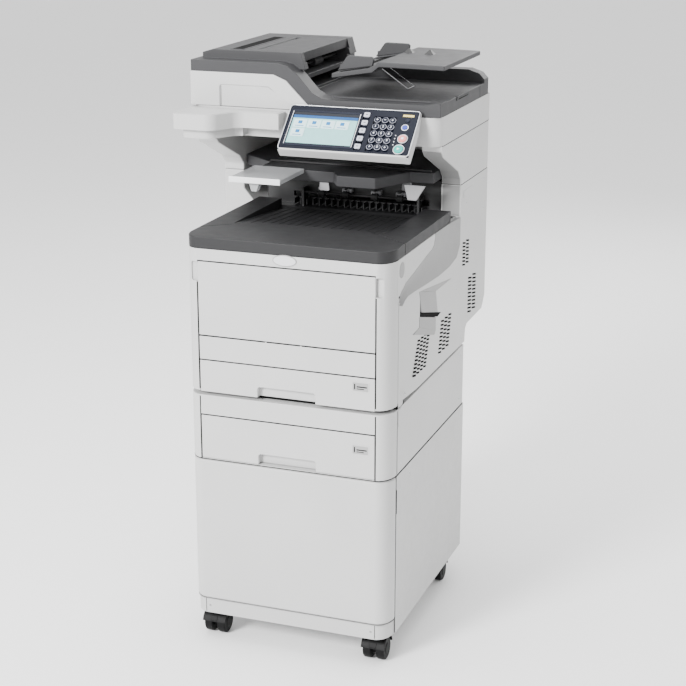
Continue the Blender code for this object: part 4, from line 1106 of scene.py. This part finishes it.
class COPIER_OT_scanner_and_back(bpy.types.Operator):
    """Makes the scanner's seams and port, the shelf's step, and the sockets, vents and plate on the back"""
    bl_idname = "copier.scanner_and_back"
    bl_label = "Scanner and back"

    def execute(self, context):
        piece("usb_port", "black", "root", extruded(plate((-0.1535, -0.1375), (1.0765, 1.0835), 0.001), "y",
                                                    0.2872, 0.2900),
              cut=[slab((-0.1515, -0.1395), (0.28, 0.2889), (1.0785, 1.0815))])
        piece("usb_port_rim", "pale_and_highlight", "root",
              extruded(plate((-0.1560, -0.1350), (1.0740, 1.0860), 0.002), "y",
                                                        0.2874, 0.2884), edge=0.0002,
              cut=[extruded(plate((-0.1535, -0.1375), (1.0765, 1.0835), 0.001), "y", 0.2, 0.4)])
        piece("scanner_side_seam", "seam", "root",
              slab((RIGHT - 0.001, RIGHT + 0.0002), (0.320, 0.6720), (1.0572, 1.0582)))
        rim = plate((-0.2420, 0.2130), (0.3210, 0.6430), 0.004)
        hole = plate((-0.2350, 0.2060), (0.3280, 0.6360), 0.001)
        piece("platen_frame", "white", "root", extruded(rim, "z", 1.1180, 1.1190),
              cut=[extruded(hole, "z", 1.0, 1.2)], edge=0.0002)
        ruler = [slab((-0.2330 + 0.0148 * k, -0.2326 + 0.0148 * k), (0.3220 + 0.0010 * (k % 2), 0.3262),
                      (1.1185, 1.11905)) for k in range(30)]
        piece("platen_ruler", "seam", "root", ruler)
        inlet = slab((-0.1990, -0.1610), (0.6660, 0.6715), (0.6410, 0.6690))
        piece("power_inlet", "black", "root", inlet,
              cut=[slab((-0.1930, -0.1670), (0.667, 0.70), (0.6450, 0.6650))], edge=0.0004)
        piece("power_inlet_pins", "silver", "root",
              [slab((x - 0.0015, x + 0.0015), (0.6665, 0.6710), (0.6520, 0.6580)) for x in (-0.187, -0.180,
                                                                                            -0.173)])
        back = BACK_FACE
        slots = [extruded(plate((x, x + 0.045), (0.700 + 0.012 * k, 0.7045 + 0.012 * k), 0.002), "y",
                          back - 0.001, back + 0.0002) for x in (-0.120, -0.065) for k in range(10)]
        piece("back_vents", "seam", "root", slots)
        ports = [extruded(plate((0.040 + 0.032 * k, 0.058 + 0.032 * k), (0.650, 0.664), 0.001), "y",
                          back - 0.001, back + 0.0004) for k in range(3)]
        piece("back_ports", "black", "root", ports, edge=0.0002)
        seam_lines = [slab((-0.2140, 0.2140), (back - 0.001, back + 0.0002), (0.8755, 0.8765)),
                      slab((0.1000, 0.1010), (back - 0.001, back + 0.0002), (0.6290, 0.8755))]
        piece("back_seams", "seam", "root", seam_lines)
        plate_outline = plate((0.130, 0.190), (0.780, 0.820), 0.002)
        piece("rating_plate", "silver", "root", extruded(plate_outline, "y", back - 0.0005, back + 0.0004))
        step = rounded([(LEFT + 0.006, 0.296, 0), (LEFT + 0.006, 0.190, 0.010), (-0.243, 0.190, 0.026),
                        (-0.210, 0.254, 0.026), (-0.116, 0.254, 0), (-0.116, 0.284, 0), (-0.300, 0.284, 0)],
                       4)
        piece("shelf_mat", "white", "root", extruded(step, "z", 1.1145, 1.1158), edge=0.0004)
        return {"FINISHED"}


class COPIER_OT_stage(bpy.types.Operator):
    """Sets the floor, the lights and the camera"""
    bl_idname = "copier.stage"
    bl_label = "Stage"

    def execute(self, context):
        stage = context.scene.copier_stage
        made, tree, shader = nodes_of("studio_floor")
        tone = stage.floor[:]
        tree.links.new(ramp(tree, speckle(tree, 2.0), [c * 0.99 for c in tone], tone),
                       shader.inputs["Base Color"])
        shader.inputs["Roughness"].default_value = 0.7
        bump(tree, shader, speckle(tree, 300.0), 0.00005, 0.2)
        reach = 40.0
        floor = linked("floor", mesh_of("floor", [extruded([(-reach, -reach), (reach, -reach), (reach, reach),
                                                             (-reach, reach)], "z", -0.02, 0.0)]))
        floor.data.materials.append(made)
        for name, place, size, power, aim in (
                ("key_light", (-1.8, -4.2, 3.0), 1.6, 560.0, (0, 0.1, 0.6)),
                ("fill_light", (3.8, -0.8, 2.0), 3.0, 6.0, (0, 0.2, 0.6)),
                ("top_light", (-0.4, 0.4, 4.2), 2.4, 90.0, (0, 0.3, 0.9)),
                ("back_light", (0.5, 3.6, 2.6), 2.6, 70.0, (0, 0.3, 0.8))):
            lamp = bpy.data.lights.new(name, "AREA")
            lamp.shape, lamp.size, lamp.energy = "DISK", size, power
            holder = linked(name, lamp)
            holder.location = BASE + Vector(place)
            holder.rotation_euler = (Vector(aim) - Vector(place)).to_track_quat("-Z", "Y").to_euler()
        world = bpy.data.worlds.new("studio")
        world.use_nodes = True
        sky = world.node_tree.nodes["Background"]
        sky.inputs["Color"].default_value = (1.0, 1.0, 1.0, 1)
        sky.inputs["Strength"].default_value = 1.4
        context.scene.world = world
        lens = bpy.data.cameras.new("camera")
        lens.lens, lens.sensor_width = stage.lens, 36.0
        camera = linked("camera", lens)
        target = BASE + Vector(stage.target)
        flat = math.cos(stage.elevation)
        away = Vector((math.sin(stage.azimuth) * flat, -math.cos(stage.azimuth) * flat,
                       math.sin(stage.elevation)))
        camera.location = target + away * stage.distance
        camera.rotation_euler = (-away).to_track_quat("-Z", "Y").to_euler()
        context.scene.camera = camera
        return {"FINISHED"}


OPERATORS = (COPIER_OT_finishes, COPIER_OT_fender, COPIER_OT_side_grip, COPIER_OT_seams, COPIER_OT_vents,
             COPIER_OT_screws,
             COPIER_OT_front_marks, COPIER_OT_lid_walls, COPIER_OT_document_tray, COPIER_OT_panel_face,
             COPIER_OT_panel_keys, COPIER_OT_output_tray, COPIER_OT_lower_fittings, COPIER_OT_inside,
             COPIER_OT_scanner_and_back, COPIER_OT_stage)


class COPIER_PT_sidebar(bpy.types.Panel):
    """Settings and build steps of the copier"""
    bl_idname = "COPIER_PT_sidebar"
    bl_label = "Office copier"
    bl_space_type = "VIEW_3D"
    bl_region_type = "UI"
    bl_category = "Copier"

    def draw(self, context):
        for group in (context.scene.copier_sizes, context.scene.copier_colours, context.scene.copier_stage):
            box = self.layout.box()
            for name in group.__annotations__:
                box.prop(group, name)
        for operator in OPERATORS:
            self.layout.operator(operator.bl_idname)


GROUPS = {"copier_sizes": CopierSizes, "copier_colours": CopierColours, "copier_stage": CopierStage}
CLASSES = (*GROUPS.values(), *OPERATORS, COPIER_PT_sidebar)


def register():
    for made in CLASSES:
        bpy.utils.register_class(made)
    for name, group in GROUPS.items():
        setattr(bpy.types.Scene, name, PointerProperty(type=group))


def unregister():
    for name in GROUPS:
        delattr(bpy.types.Scene, name)
    for made in reversed(CLASSES):
        bpy.utils.unregister_class(made)


def main():
    register()
    for operator in OPERATORS:
        group, name = operator.bl_idname.split(".")
        getattr(getattr(bpy.ops, group), name)()


if __name__ == "__main__":
    main()
